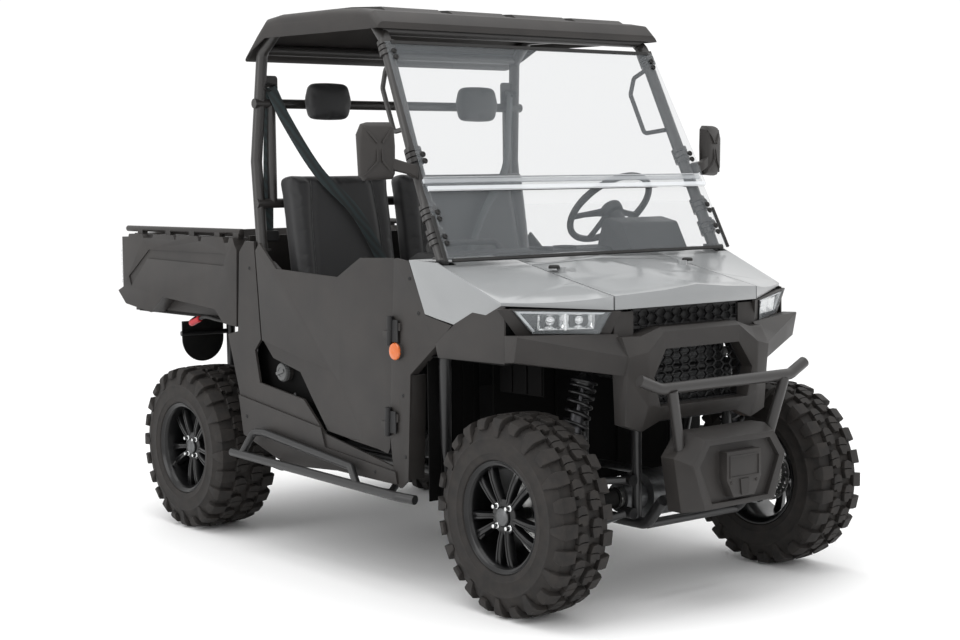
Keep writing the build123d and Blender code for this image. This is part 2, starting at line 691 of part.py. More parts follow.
with BuildPart() as rops_cross:
    add_tube(((CROSS_X, -690, UPPER_CROSS_Z), (CROSS_X, 690, UPPER_CROSS_Z)), CROSS_RADIUS)
    add_tube(((CROSS_X, -690, LOWER_CROSS_Z), (CROSS_X, 690, LOWER_CROSS_Z)), CROSS_RADIUS)
    add_tube(((-392, -650, 1985), (-392, 650, 1985)), 20)
    add_tube(((405, -650, 2008), (405, 650, 2008)), 20)
    for post_y in (-612, 612):
        add_tube(((CROSS_X, post_y, UPPER_CROSS_Z), (CROSS_X, post_y, LOWER_CROSS_Z)), CROSS_RADIUS)
    # belt anchor plates above the upper cross tube
    for side in (1, -1):
        with BuildSketch(Plane.YZ.offset(CROSS_X - 4)):
            with Locations((side * 622, 1830)):
                RectangleRounded(84, 112, 14)
                Circle(10, mode=Mode.SUBTRACT)
        extrude(amount=8)
    # stalks that hold the headrests
    for side in (1, -1):
        with Locations((CROSS_X + 16, side * HEADREST_Y, HEADREST_Z)):
            Box(36, 90, 60)
    add(rops_left.part, mode=Mode.SUBTRACT)
    add(rops_right.part, mode=Mode.SUBTRACT)
    add(headrests.part, mode=Mode.SUBTRACT)
save(rops_cross, "rops_cross")

# ---- Roof: moulded shell with turned-down edges and raised pads --------------------------
ROOF_HALF = 702
ROOF_THICK = 6
ROOF_EDGE = 34  # radius of its long edges
# x, z down the roof's side outline, from the rear lip over the top to the front lip
ROOF_LINE = (
    (-486, 1944),
    (-372, 2044),
    (-300, 2100),
    (-200, 2109),
    (150, 2102),
    (330, 2090),
    (408, 2076),
    (452, 2034),
    (452, 2010),
)
PAD_LINE = ((-290, 2096), (-196, 2119), (150, 2112), (336, 2099), (384, 2074), (-290, 2074))
PAD_WIDTH = 262


def roof_form(line, half, edge):
    """The roof as a solid under one outline, its two long edges rounded."""
    with BuildPart() as form:
        add_plate(line, half, 2 * half)
        for end in (-1, 0):
            side = form.faces().sort_by(Axis.Y)[end]
            fillet(side.edges().filter_by(lambda e: e.center().Z > 2026), edge)
    return form.part


with BuildPart() as roof:
    add(roof_form((*ROOF_LINE, (400, 2010), (-300, 2024)), ROOF_HALF, ROOF_EDGE))
    for middle in (-465, -155, 155, 465):
        add_plate(PAD_LINE, middle + PAD_WIDTH / 2, PAD_WIDTH)
    under = tuple((x * 0.985, z - ROOF_THICK - 2) for x, z in ROOF_LINE)
    hollow = (*under, (under[-1][0], 1900), (under[0][0], 1900))
    add(roof_form(hollow, ROOF_HALF - ROOF_THICK, ROOF_EDGE - ROOF_THICK), mode=Mode.SUBTRACT)
save(roof, "roof")

# ---- Dashboard with the instrument hood and the steering column -------------------------
column_axis = Vector(-cos(radians(STEERING_RAKE)), 0, sin(radians(STEERING_RAKE)))

with BuildPart() as dashboard:
    add_plate(
        (
            (FIREWALL_X + 8, 1000),
            (FIREWALL_X + 8, 1150),
            (640, 1196),
            (560, 1206),
            (500, 1180),
            (540, 1040),
            (600, 940),
            (FIREWALL_X - 8, 940),
            (FIREWALL_X - 8, 1000),
        ),
        610,
        1220,
    )
    # instrument hood in front of the driver
    add_plate(((560, 1190), (600, 1312), (700, 1290), (760, 1180)), 560, 300)
    fillet(dashboard.edges().filter_by(Axis.Y).sort_by(Axis.Z)[-2:], 20)
    foot = Vector(*STEERING_HUB) - column_axis * 260
    end = Vector(*STEERING_HUB) - column_axis * 40
    with BuildSketch(Plane(origin=foot, z_dir=column_axis)):
        Circle(30)
    extrude(amount=(end - foot).length)
    with BuildSketch(Plane(origin=end, z_dir=column_axis)):
        Circle(11)
    extrude(amount=30)
    # the firewall pressing stands inside the dashboard's front edge
    add(cab_floor.part, mode=Mode.SUBTRACT)
save(dashboard, "dashboard")

RIM_TUBE = 14
STEERING_RADIUS = 178

with BuildPart() as steering_wheel:
    with BuildSketch(Plane(origin=STEERING_HUB, x_dir=(0, -1, 0), z_dir=(1, 0, 1))):
        with Locations((STEERING_RADIUS, 0)):
            Circle(RIM_TUBE)
    revolve(axis=Axis(STEERING_HUB, column_axis))
    with BuildSketch(Plane(origin=Vector(*STEERING_HUB) - column_axis * 32, z_dir=column_axis)):
        Circle(42)
    extrude(amount=36)
    for spoke in (-15, 195, 270):
        reach = Vector(0, -cos(radians(spoke)), 0) + Vector(1, 0, 1).normalized() * sin(radians(spoke))
        add_bar(
            Vector(*STEERING_HUB) + reach * 20 - column_axis * 12,
            Vector(*STEERING_HUB) + reach * (STEERING_RADIUS - 4),
            30,
            14,
        )
    with BuildSketch(Plane(origin=Vector(*STEERING_HUB) - column_axis * 40, z_dir=column_axis)):
        Circle(11 + RUNNING_FIT)
    extrude(amount=32, mode=Mode.SUBTRACT)
save(steering_wheel, "steering_wheel")

# ---- Front bodywork: one clamshell form, cut into hood, cowl and fenders ------------------
SHELL = 5
# x, half width at the edge, z on the middle line, z at the hood seam, z at the edge
CLAMSHELL = (
    (636, 714, 1194, 1190, 1186),
    (805, 714, 1186, 1177, 1181),
    (1114, 688, 1133, 1110, 1058),
    (1309, 660, 1103, 1070, 985),
    (1360, 650, 1095, 1059, 960),
)
# x, y along the front edge seen from above, left half
FRONT_PLAN = ((1352, 0), (1346, 150), (1309, HOOD_HALF), (1116, 690))
# x, z along the lower edge seen from the side
FRONT_HEM = (
    (636, 1200),
    (644, 1184),
    (733, 1000),
    (886, 972),
    (980, 1018),
    (1045, 1012),
    (1118, 1046),
    (1309, 1023),
    (1370, 1029),
)


def clamshell_form(inset):
    """The front bodywork as a solid, drawn in from its outer faces by an inset."""
    with BuildPart() as form:
        for x, edge_y, middle_z, seam_z, edge_z in CLAMSHELL:
            with BuildSketch(Plane.YZ.offset(x)):
                with BuildLine():
                    Polyline(
                        (-edge_y + inset, 900),
                        (-edge_y + inset, edge_z - inset),
                        (-HOOD_HALF, seam_z - inset),
                        (0, middle_z - inset),
                        (HOOD_HALF, seam_z - inset),
                        (edge_y - inset, edge_z - inset),
                        (edge_y - inset, 900),
                        close=True,
                    )
                make_face()
        loft(ruled=True)
        plan = tuple((x - 1.2 * inset, y) for x, y in FRONT_PLAN)
        mirrored = tuple((x, -y) for x, y in reversed(plan[1:]))
        with BuildSketch(Plane.XY.offset(850)):
            with BuildLine():
                Polyline((600, -900), *mirrored, *plan, (600, 900), close=True)
            make_face()
        extrude(amount=500, mode=Mode.INTERSECT)
    return form.part


fender_filled = clamshell_form(0)
with BuildPart() as clamshell:
    add(fender_filled)
    add(clamshell_form(SHELL), mode=Mode.SUBTRACT)
    with BuildSketch(side_plane(900)):
        with BuildLine():
            Polyline(*FRONT_HEM, (1370, 1400), (600, 1400), close=True)
        make_face()
    extrude(amount=1800, mode=Mode.INTERSECT)
    # the instrument hood rises through it
    add(dashboard.part, mode=Mode.SUBTRACT)

HOOD_REAR_X = 884
HOOD_GAP = 6

with BuildPart() as hood:
    add(clamshell.part)
    with Locations(((HOOD_REAR_X + 1400) / 2, 0, 1100)):
        Box(1400 - HOOD_REAR_X, 2 * HOOD_HALF - HOOD_GAP, 400, mode=Mode.INTERSECT)
    for latch_y in (-300, 300):
        with BuildSketch(Plane.XY.offset(1131)):
            with Locations((985, latch_y)):
                Circle(17)
        extrude(amount=24)
save(hood, "hood")

with BuildPart() as cowl:
    add(clamshell.part)
    with Locations(((HOOD_REAR_X - HOOD_GAP + 706) / 2, 0, 1100)):
        Box(HOOD_REAR_X - HOOD_GAP - 706, 2 * HOOD_HALF - HOOD_GAP, 400, mode=Mode.INTERSECT)
save(cowl, "cowl")

# ---- Headlamps ------------------------------------------------------------------------
lamp_plane = Plane(origin=(1229, 515, 985), x_dir=(-0.46, 0.888, 0), z_dir=(0.8755, 0.4563, -0.16))

with BuildPart() as headlamps:
    with BuildSketch(lamp_plane):
        with BuildLine():
            Polyline((172, 47), (-172, 33), (-133, -43), (102, -36), close=True)
        make_face()
    extrude(amount=-58)
    add(fender_filled, mode=Mode.SUBTRACT)
    mirror(about=Plane.XZ)
save(headlamps, "headlamps")

with BuildPart() as fenders:
    add(clamshell.part)
    with Locations((1000, 0, 1100)):
        Box(800, 2 * HOOD_HALF + HOOD_GAP, 500, mode=Mode.SUBTRACT)
    # the cage's front feet come up through the fenders
    for side in (1, -1):
        with Locations((787, side * 676, CAGE_FOOT_Z)):
            Box(84, 64, 60, mode=Mode.SUBTRACT)
    add(headlamps.part, mode=Mode.SUBTRACT)
save(fenders, "fenders")

# ---- Arch flares above the front wheels ----------------------------------------------
ARCH_Z = 852
ARCH_SKIN = 8
ARCH_END_X = 1132
# x, z round the flare seen from the side: its top follows the fender's hem
ARCH_OUTLINE = (
    (804, ARCH_Z),
    (789, 897),
    (886, 972),
    (980, 1018),
    (1045, 1012),
    (1118, 1046),
    (ARCH_END_X, 1042),
    (ARCH_END_X, ARCH_Z),
)

with BuildPart() as arches:
    with BuildSketch(side_plane(720)):
        with BuildLine():
            Polyline(*ARCH_OUTLINE, close=True)
        make_face()
    extrude(amount=60)
    # the skin lies in line with the fender's side, which draws in towards the front
    flank = ((780, 714), (805, 714), (1114, 688), (ARCH_END_X, 686))
    inner = tuple((x, y - ARCH_SKIN) for x, y in reversed(flank))
    with BuildSketch(Plane.XY.offset(ARCH_Z)):
        Polygon(*flank, *inner, align=None)
    extrude(amount=200, mode=Mode.INTERSECT)
    # roof of the wheel well
    with BuildSketch(Plane.XY.offset(ARCH_Z)):
        Polygon((804, 450), (804, 708), (ARCH_END_X, 682), (ARCH_END_X, 450), align=None)
    extrude(amount=ARCH_SKIN)
    # rear wall of the wheel well, up to the fender
    with BuildSketch(side_plane(700)):
        Polygon((804, ARCH_Z), (789, 897), (797, 903), (812, ARCH_Z), align=None)
    extrude(amount=250)
    mirror(about=Plane.XZ)
    add(fenders.part, mode=Mode.SUBTRACT)
    add(headlamps.part, mode=Mode.SUBTRACT)
save(arches, "arches")

# ---- Nose: centre panel round the grille opening and two wings -------------------------
# y, then x, z of the top edge, ridge, lower front, foot, foot rear and top rear
NOSE_SECTIONS = (
    (345, ((1338, 932), (1372, 866), (1364, 795), (1350, 633), (1300, 633), (1285, 932))),
    (269, ((1352, 932), (1390, 881), (1386, 700), (1354, 607), (1300, 607), (1292, 932))),
    (185, ((1358, 958), (1378, 944), (1390, 690), (1362, 640), (1310, 640), (1300, 958))),
)
GRILLE_OPENING = ((-180, 885), (180, 885), (242, 793), (214, 690), (-214, 690), (-242, 793))
# the same round a wing: where it leaves the centre panel, and at the wheel arch
WING_ROOT = ((1306, 941), (1372, 866), (1354, 801), (1290, 801), (1270, 941))
WING_TIP = ((1200, 950), (1203, 946), (1184, 862), (1136, 858), (1136, 948))

with BuildPart() as nose:
    right = tuple((-y, outline) for y, outline in NOSE_SECTIONS)
    for y, outline in (*right, *reversed(NOSE_SECTIONS)):
        with BuildSketch(side_plane(y)):
            with BuildLine():
                Polyline(*outline, close=True)
            make_face()
    loft(ruled=True)
    with BuildSketch(Plane.YZ.offset(1250)):
        with BuildLine():
            Polyline(*GRILLE_OPENING, close=True)
        make_face()
    extrude(amount=200, mode=Mode.SUBTRACT)
    with BuildPart(mode=Mode.PRIVATE) as wing:
        for y, outline in ((335, WING_ROOT), (689, WING_TIP)):
            with BuildSketch(side_plane(y)):
                with BuildLine():
                    Polyline(*outline, close=True)
                make_face()
        loft(ruled=True)
    add(wing.part)
    mirror(wing.part, about=Plane.XZ)
    # closing plates beside the upper mesh
    for side in (1, -1):
        with Locations((1297, side * 302, 968)):
            Box(12, 88, 92)
    add(headlamps.part, mode=Mode.SUBTRACT)
    add(chassis_front.part, mode=Mode.SUBTRACT)
save(nose, "nose")

# ---- Grille: hexagonal mesh in the nose opening and under the hood lip -----------------
MESH_PITCH = 17  # apothem of one cell with its share of the web
MESH_HOLE = 15.5

with BuildPart() as grille:
    with BuildSketch(Plane.YZ.offset(1330)):
        Polygon((-180, 885), (180, 885), (242, 793), (214, 690), (-214, 690), (-242, 793), align=None)
        with Locations((0, 788)):
            with HexLocations(MESH_PITCH, 12, 5):
                RegularPolygon(MESH_HOLE, 6, mode=Mode.SUBTRACT)
    extrude(amount=8)
    with BuildSketch(Plane.YZ.offset(1292)):
        with Locations((0, 987)):
            Rectangle(516, 60)
            with HexLocations(MESH_PITCH, 14, 1):
                RegularPolygon(MESH_HOLE, 6, mode=Mode.SUBTRACT)
    extrude(amount=8)
    add(nose.part, mode=Mode.SUBTRACT)
save(grille, "grille")

with BuildPart() as radiator:
    with Locations((1255, 0, 806)):
        Box(46, 400, 372)
    add(chassis_front.part, mode=Mode.SUBTRACT)
save(radiator, "radiator")

# ---- Bumper: brush guard bar and moulded cover ------------------------------------------
with BuildPart() as bumper_bar:
    add_tube(
        ((1484, -405, 803), (1495, -318, 768), (1495, 318, 768), (1484, 405, 803)),
        20,
        bend=60,
    )
    for side in (1, -1):
        add_tube(((1505, side * 276, 760), (1480, side * 214, 540)), 19)
save(bumper_bar, "bumper_bar")

# y, z of the cover's outline: where it meets its back, on its front rim, round the
# recess in it and round the raised middle
COVER_BACK = ((-256, 529), (-187, 610), (187, 610), (256, 529), (223, 341), (-223, 341))
COVER_FRONT = ((-226, 508), (-168, 588), (168, 588), (226, 508), (172, 352), (-172, 352))
COVER_RECESS = ((-196, 500), (-148, 568), (148, 568), (196, 500), (138, 370), (-138, 370))
COVER_MIDDLE = ((-84, 540), (84, 540), (84, 446), (52, 384), (-52, 384), (-84, 446))
COVER_X = (1430, 1492, LENGTH / 2 - 18)  # back, start of the taper and front rim

with BuildPart() as bumper_cover:
    with BuildSketch(Plane.YZ.offset(COVER_X[0])):
        Polygon(*COVER_BACK, align=None)
    extrude(amount=COVER_X[1] - COVER_X[0])
    with BuildSketch(Plane.YZ.offset(COVER_X[1])):
        Polygon(*COVER_BACK, align=None)
    with BuildSketch(Plane.YZ.offset(COVER_X[2])):
        Polygon(*COVER_FRONT, align=None)
    loft(ruled=True)
    with BuildSketch(Plane.YZ.offset(COVER_X[2] - 20)):
        Polygon(*COVER_RECESS, align=None)
    extrude(amount=40, mode=Mode.SUBTRACT)
    with BuildSketch(Plane.YZ.offset(COVER_X[2] - 24)):
        Polygon(*COVER_MIDDLE, align=None)
    extrude(amount=42)
    add(bumper_bar.part, mode=Mode.SUBTRACT)
    add(chassis_front.part, mode=Mode.SUBTRACT)
save(bumper_cover, "bumper_cover")

# ---- Doors: half doors on inclined hinges at their front edge ---------------------------
hinge_axis = Vector(DOOR_HINGE_HIGH[0] - DOOR_HINGE_LOW[0], 0, DOOR_HINGE_HIGH[1] - DOOR_HINGE_LOW[1])
hinge_axis = hinge_axis.normalized()
DOOR_OUTLINE = (
    (-391, 1192),
    (-361, 1223),
    (-239, 1124),
    (185, 1108),
    (331, 1184),
    (539, 1190),
    (495, 500),
    (482, 478),
    (423, 488),
    (96, 520),
    (-9, 636),
    (-89, 730),
    (-283, 770),
    (-355, 836),
)
DOOR_LINER = (
    (-322, 1150),
    (-230, 1100),
    (192, 1084),
    (338, 1160),
    (512, 1162),
    (470, 512),
    (430, 510),
    (112, 542),
    (-80, 752),
    (-270, 796),
    (-330, 850),
)
DOOR_LOWER = (
    (-370, 850),
    (-355, 836),
    (126, 751),
    (204, 704),
    (300, 560),
    (309, 508),
    (120, 500),
    (-20, 620),
    (-100, 720),
    (-290, 760),
)
DOOR_STEP = 6
DOOR_DEPTH = 46
HINGE_PIN = 5

with BuildPart() as door_left:
    add_plate(DOOR_OUTLINE, SKIN_Y, SKIN)
    add_plate(DOOR_LINER, SKIN_Y - SKIN, DOOR_DEPTH - SKIN)
    # the face draws in towards its front edge, beyond a sloping crease
    with BuildSketch(Plane.XY.offset(400)):
        Polygon((180, SKIN_Y + 2), (180, SKIN_Y), (560, SKIN_Y - 9), (560, SKIN_Y + 2), align=None)
    extrude(amount=900, mode=Mode.SUBTRACT)
    # the lower part is set back below a line that drops towards the sill
    with BuildSketch(side_plane(SKIN_Y)):
        Polygon(*DOOR_LOWER, align=None)
    extrude(amount=DOOR_STEP, mode=Mode.SUBTRACT)
    for low_x, low_z in (DOOR_HINGE_LOW, DOOR_HINGE_HIGH):
        middle = Vector(low_x, DOOR_HINGE_Y, low_z)
        with Locations((low_x - 26, SKIN_Y + 4, low_z - 16)):
            Box(48, 8, 28)
        with Locations((low_x - 35, SKIN_Y - 4, low_z - 16)):
            Box(30, 12, 28)
        with BuildSketch(Plane(origin=middle - hinge_axis * 31, z_dir=hinge_axis)):
            Circle(11)
        extrude(amount=30)
        with BuildSketch(Plane(origin=middle - hinge_axis * 40, z_dir=hinge_axis)):
            Circle(HINGE_PIN + RUNNING_FIT)
        extrude(amount=80, mode=Mode.SUBTRACT)
    # latch block at the rear edge
    with Locations((-300, SKIN_Y - DOOR_DEPTH - 8, 1000)):
        Box(60, 16, 90)
save(door_left, "door_left")

with BuildPart() as door_right:
    mirror(door_left.part, about=Plane.XZ)
save(door_right, "door_right")

# ---- Front quarter panels between door and wheel arch -------------------------------------
QUARTER = (
    (548, 1186),
    (560, 1190),
    (636, 1180),
    (731, 996),
    (878, 968),
    (790, 893),
    (636, 779),
    (614, 398),
    (566, 362),
    (532, 380),
    (505, 560),
)

with BuildPart() as quarter_panels:
    add_plate(QUARTER, SKIN_Y, SKIN)
    # return flange along the wheel arch
    add_plate(((636, 775), (614, 398), (602, 398), (622, 775)), SKIN_Y - SKIN, 62)
    add_plate(((636, 779), (790, 893), (784, 901), (626, 783)), SKIN_Y - SKIN, 26)
    for low_x, low_z in (DOOR_HINGE_LOW, DOOR_HINGE_HIGH):
        middle = Vector(low_x, DOOR_HINGE_Y, low_z)
        with Locations((low_x + 30, SKIN_Y + 4, low_z + 16)):
            Box(48, 8, 28)
        with BuildSketch(Plane(origin=middle + hinge_axis * 1, z_dir=hinge_axis)):
            Circle(11)
        extrude(amount=30)
        with BuildSketch(Plane(origin=middle - hinge_axis * 31, z_dir=hinge_axis)):
            Circle(HINGE_PIN)
        extrude(amount=62)
    with BuildSketch(side_plane(SKIN_Y)):
        with Locations((566, 858)):
            Circle(31)
    extrude(amount=-14)
    mirror(about=Plane.XZ)
    add(fenders.part, mode=Mode.SUBTRACT)
    add(arches.part, mode=Mode.SUBTRACT)
save(quarter_panels, "quarter_panels")

# ---- Side panels behind the doors, with the sills below -----------------------------------
SIDE_PANEL = (
    (-515, 1183),
    (-467, 1229),
    (-402, 1226),
    (-398, 1190),
    (-364, 838),
    (-410, 793),
    (-378, 664),
    (-60, 626),
    (84, 508),
    (560, 430),
    (562, 372),
    (160, 376),
    (-190, 353),
    (-506, 440),
    (-534, 606),
    (-618, 844),
    (-538, 861),
)
REAR_FLANGE = (
    (-534, 606),
    (-618, 844),
    (-538, 861),
    (-515, 1183),
    (-505, 1183),
    (-526, 850),
    (-600, 838),
    (-522, 606),
)

with BuildPart() as side_panels:
    add_plate(SIDE_PANEL, SKIN_Y, SKIN)
    # the sill stands proud of the panel above it, with a ledge along its top
    add_plate(
        ((-532, 602), (66, 530), (94, 458), (545, 420), (556, 376), (160, 381), (-188, 358), (-500, 444)),
        SKIN_Y + 8,
        8,
    )
    # inner wall that closes the seat side, with the filler neck on it
    add_plate(((-420, 800), (-330, 800), (-30, 690), (20, 600), (-420, 600)), SKIN_Y - 60, 6)
    with BuildSketch(side_plane(SKIN_Y - 60)):
        with Locations((-250, 715)):
            Circle(34)
    extrude(amount=-26)
    # flange along the rear edge
    add_plate(REAR_FLANGE, SKIN_Y - SKIN, 40)
    mirror(about=Plane.XZ)
    add(cab_frame.part, mode=Mode.SUBTRACT)
    add(rops_left.part, mode=Mode.SUBTRACT)
    add(rops_right.part, mode=Mode.SUBTRACT)
    add(quarter_panels.part, mode=Mode.SUBTRACT)
save(side_panels, "side_panels")

# ---- Step bars below the doors --------------------------------------------------------------
STEP_Y = 782

with BuildPart() as side_steps:
    add_tube(((-484, STEP_Y, 380), (640, STEP_Y, 352), (722, STEP_Y - 20, 348)), 17, bend=60)
    add_tube(
        ((-412, STEP_Y, 378), (-372, 748, 470), (-300, 742, 474), (300, 742, 412), (396, STEP_Y, 358)),
        15,
        bend=34,
    )
    for bracket_x, bar_z in ((-250, 374), (470, 356)):
        add_tube(((bracket_x, 600, 424), (bracket_x, 684, 330), (bracket_x, STEP_Y, bar_z)), 13, bend=24)
    mirror(about=Plane.XZ)
    add(cab_frame.part, mode=Mode.SUBTRACT)
    add(side_panels.part, mode=Mode.SUBTRACT)
save(side_steps, "side_steps")

# ---- Cargo bed: floor, front wall, moulded sides ---------------------------------------------
BED_HALF = 712
BED_WALL = 72
BED_INNER = BED_HALF - BED_WALL
BED_PLATE = 15
BED_SIDE = (
    (-1520, 1226),
    (-552, 1217),
    (-532, 1190),
    (-546, 878),
    (-654, 887),
    (-716, 941),
    (-1158, 971),
    (-1271, 899),
    (-1503, 927),
    (BED_REAR_X, 983),
    (-1522, 1002),
)
BED_TEETH = ((-1455, -1331), (-1230, -1053), (-1025, -847), (-810, -640), (-588, -562))
BED_RECESS = ((-1274, 1174), (-617, 1173), (-637, 1123), (-1287, 1135), (-1448, 1008), (-1467, 1051))

with BuildPart() as bed_floor:
    add_plate(
        (
            (-1514, BED_FLOOR_Z - BED_PLATE),
            (BED_FRONT_X - 14, BED_FLOOR_Z - BED_PLATE),
            (BED_FRONT_X - 14, BED_FLOOR_Z),
            (-1514, BED_FLOOR_Z),
        ),
        BED_INNER - 1,
        2 * BED_INNER - 2,
    )
    for rib_y in range(-520, 521, 130):
        with Locations((-1040, rib_y, BED_FLOOR_Z + 3)):
            Box(880, 50, 6)
    for side in (1, -1):
        with Locations((-930, side * BED_SUPPORT_Y, 879)):
            Box(720, 40, 22)
        # ears round the tilt pin
        with BuildSketch(pin_plane(BED_PIVOT[0], side * 240 - 9, BED_PIVOT[1])):
            Circle(27)
            with Locations((0, -24)):
                Rectangle(54, 48)
            Circle(BED_PIN_RADIUS + RUNNING_FIT, mode=Mode.SUBTRACT)
        extrude(amount=18)
        # lugs and pins the tailgate drops about
        for lug_y in (-60, 60):
            with BuildSketch(pin_plane(TAILGATE_HINGE[0], side * 460 + lug_y - 8, TAILGATE_HINGE[1])):
                Circle(13)
                with Locations((20, 9)):
                    Rectangle(40, 22)
            extrude(amount=16)
        with BuildSketch(pin_plane(TAILGATE_HINGE[0], side * 460 - 60, TAILGATE_HINGE[1])):
            Circle(7)
        extrude(amount=120)
    # bracket for the lift strut's upper eye
    for ear in (-20, 20):
        with BuildSketch(pin_plane(STRUT_EYE[0], STRUT_Y + ear - 4, STRUT_EYE[1])):
            with Locations((0, -12)):
                RectangleRounded(44, 50, 8)
        extrude(amount=8)
save(bed_floor, "bed_floor")

with BuildPart() as bed_front:
    with Locations((BED_FRONT_X - 7, 0, 1068)):
        Box(14, 2 * BED_INNER - 2, 356)
    for rib_y in range(-520, 521, 130):
        with Locations((BED_FRONT_X - 18, rib_y, 1068)):
            Box(10, 40, 300)
save(bed_front, "bed_front")

with BuildPart() as bed_side_left:
    add_plate(BED_SIDE, BED_HALF, BED_WALL)
    # castellated top edge, with the rail that stands on it
    for rear_x, front_x in BED_TEETH:
        add_plate(
            ((rear_x - 14, 1212), (rear_x, 1240), (front_x, 1240), (front_x + 14, 1212)),
            BED_HALF,
            BED_WALL,
        )
        with Locations(((rear_x + front_x) / 2, BED_HALF - 36, 1248)):
            Box(44, 26, 24)
    add_tube(((-1525, BED_HALF - 36, 1262), (-545, BED_HALF - 36, 1262)), 13)
    # recess along the outer face, dropping at its rear end
    with BuildSketch(side_plane(BED_HALF)):
        Polygon(*BED_RECESS, align=None)
    extrude(amount=6, mode=Mode.SUBTRACT)
save(bed_side_left, "bed_side_left")

with BuildPart() as bed_side_right:
    mirror(bed_side_left.part, about=Plane.XZ)
save(bed_side_right, "bed_side_right")

with BuildPart() as tailgate:
    with Locations((TAILGATE_HINGE[0], 0, 1090)):
        Box(28, 2 * BED_INNER - 12, 300)
    for rib_y in (-390, 0, 390):
        with Locations((TAILGATE_HINGE[0] - 14, rib_y, 1090)):
            Box(10, 300, 210)
    for side in (1, -1):
        with BuildSketch(pin_plane(TAILGATE_HINGE[0], side * 460 - 45, TAILGATE_HINGE[1])):
            Circle(13)
            with Locations((0, -15)):
                Rectangle(20, 30)
            Circle(7 + RUNNING_FIT, mode=Mode.SUBTRACT)
        extrude(amount=90)
save(tailgate, "tailgate")

with BuildPart() as tail_lamps:
    with Locations((-1527, BED_HALF - 30, 1096)):
        Box(22, 52, 166)
    fillet(tail_lamps.edges().filter_by(Axis.X), 8)
    mirror(about=Plane.XZ)
    add(bed_side_left.part, mode=Mode.SUBTRACT)
    add(bed_side_right.part, mode=Mode.SUBTRACT)
save(tail_lamps, "tail_lamps")

# ---- Lift strut under the bed: cylinder on the chassis, rod eye at the bed ---------------------
strut_foot = Vector(STRUT_FOOT[0], STRUT_Y, STRUT_FOOT[1])
strut_eye = Vector(STRUT_EYE[0], STRUT_Y, STRUT_EYE[1])
strut_axis = (strut_eye - strut_foot).normalized()
strut_length = (strut_eye - strut_foot).length
STRUT_TUBE_END = strut_length - 31
ROD_RADIUS = 5

with BuildPart() as strut_tube:
    with BuildSketch(pin_plane(STRUT_FOOT[0], STRUT_Y - 9, STRUT_FOOT[1])):
        Circle(17)
    extrude(amount=18)
    with BuildSketch(Plane(origin=strut_foot + strut_axis * 10, z_dir=strut_axis)):
        Circle(14)
    extrude(amount=STRUT_TUBE_END - 10)
    with BuildSketch(Plane(origin=strut_foot + strut_axis * 24, z_dir=strut_axis)):
        Circle(ROD_RADIUS + RUNNING_FIT)
    extrude(amount=strut_length, mode=Mode.SUBTRACT)
    with BuildSketch(pin_plane(STRUT_FOOT[0], STRUT_Y - 20, STRUT_FOOT[1])):
        Circle(7 + RUNNING_FIT)
    extrude(amount=40, mode=Mode.SUBTRACT)
save(strut_tube, "strut_tube")

with BuildPart() as strut_rod:
    with BuildSketch(Plane(origin=strut_foot + strut_axis * 30, z_dir=strut_axis)):
        Circle(ROD_RADIUS)
    extrude(amount=strut_length - 30)
    with BuildSketch(pin_plane(STRUT_EYE[0], STRUT_Y - 9, STRUT_EYE[1])):
        Circle(13)
    extrude(amount=18)
save(strut_rod, "strut_rod")

# ---- Powertrain: engine and transmission as one block, and the front final drive -----------------
with BuildPart() as powertrain:
    with Locations((-760, 0, 562)):
        Box(440, 372, 334)
    with BuildSketch(pin_plane(REAR_AXLE_X, -SHAFT_IN, AXLE_Z)):
        Circle(88)
    extrude(amount=2 * SHAFT_IN)
    with BuildSketch(pin_plane(FRONT_AXLE_X, -SHAFT_IN, AXLE_Z)):
        Circle(52)
    extrude(amount=2 * SHAFT_IN)
    with BuildSketch(pin_plane(FRONT_AXLE_X, -90, AXLE_Z)):
        Circle(84)
    extrude(amount=180)
    add_tube(((-560, 60, 394), (FRONT_AXLE_X, 60, 394)), 15)
    add(chassis_rear.part, mode=Mode.SUBTRACT)
    add(chassis_front.part, mode=Mode.SUBTRACT)
save(powertrain, "powertrain")

# ---- Mirrors --------------------------------------------------------------------------------------
MIRROR_TOE = 18

with BuildPart() as mirrors:
    with Locations(Location((622, 832, 1566), (0, 0, MIRROR_TOE))):
        Box(40, 138, 204)
    fillet(mirrors.edges(), 14)
    add_tube(((650, 668, 1480), (690, 740, 1490), (632, 815, 1540)), 13, bend=30)
    mirror(about=Plane.XZ)
    add(rops_left.part, mode=Mode.SUBTRACT)
    add(rops_right.part, mode=Mode.SUBTRACT)
save(mirrors, "mirrors")

# ---- Splash guards inboard of the rear wheels --------------------------------------------------------
with BuildPart() as splash_guards:
    with BuildSketch(Plane.YZ.offset(SPLASH_X - 3)):
        with Locations((430, 765)):
            Circle(105)
        with Locations((430, 805)):
            Rectangle(210, 80)
    extrude(amount=6)
    mirror(about=Plane.XZ)
    add(chassis_rear.part, mode=Mode.SUBTRACT)
save(splash_guards, "splash_guards")

# ---- Seat belts: straps from the anchor plates across the seat backs ------------------------------------
with BuildPart() as seat_belts:
    for side in (1, -1):
        add_bar((-384, side * 622, 1836), (-276, side * 470, 1521), 46, 4)
        add_bar((-276, side * 470, 1519), (-186, side * 120, 960), 46, 4)
    add(seat_backs.part, mode=Mode.SUBTRACT)
    add(rops_cross.part, mode=Mode.SUBTRACT)
    add(headrests.part, mode=Mode.SUBTRACT)
save(seat_belts, "seat_belts")
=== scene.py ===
"""Looks of a two-seat side-by-side utility vehicle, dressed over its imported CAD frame.

Lengths are metres in the vehicle's frame: +X forward, +Y to its left, +Z up, with the
origin on the ground at the middle of its length and width.
"""

import json
import logging
import math
from dataclasses import dataclass, field
from enum import Enum
from typing import Optional, Sequence

import bmesh
import bpy
from mathutils import Matrix, Vector


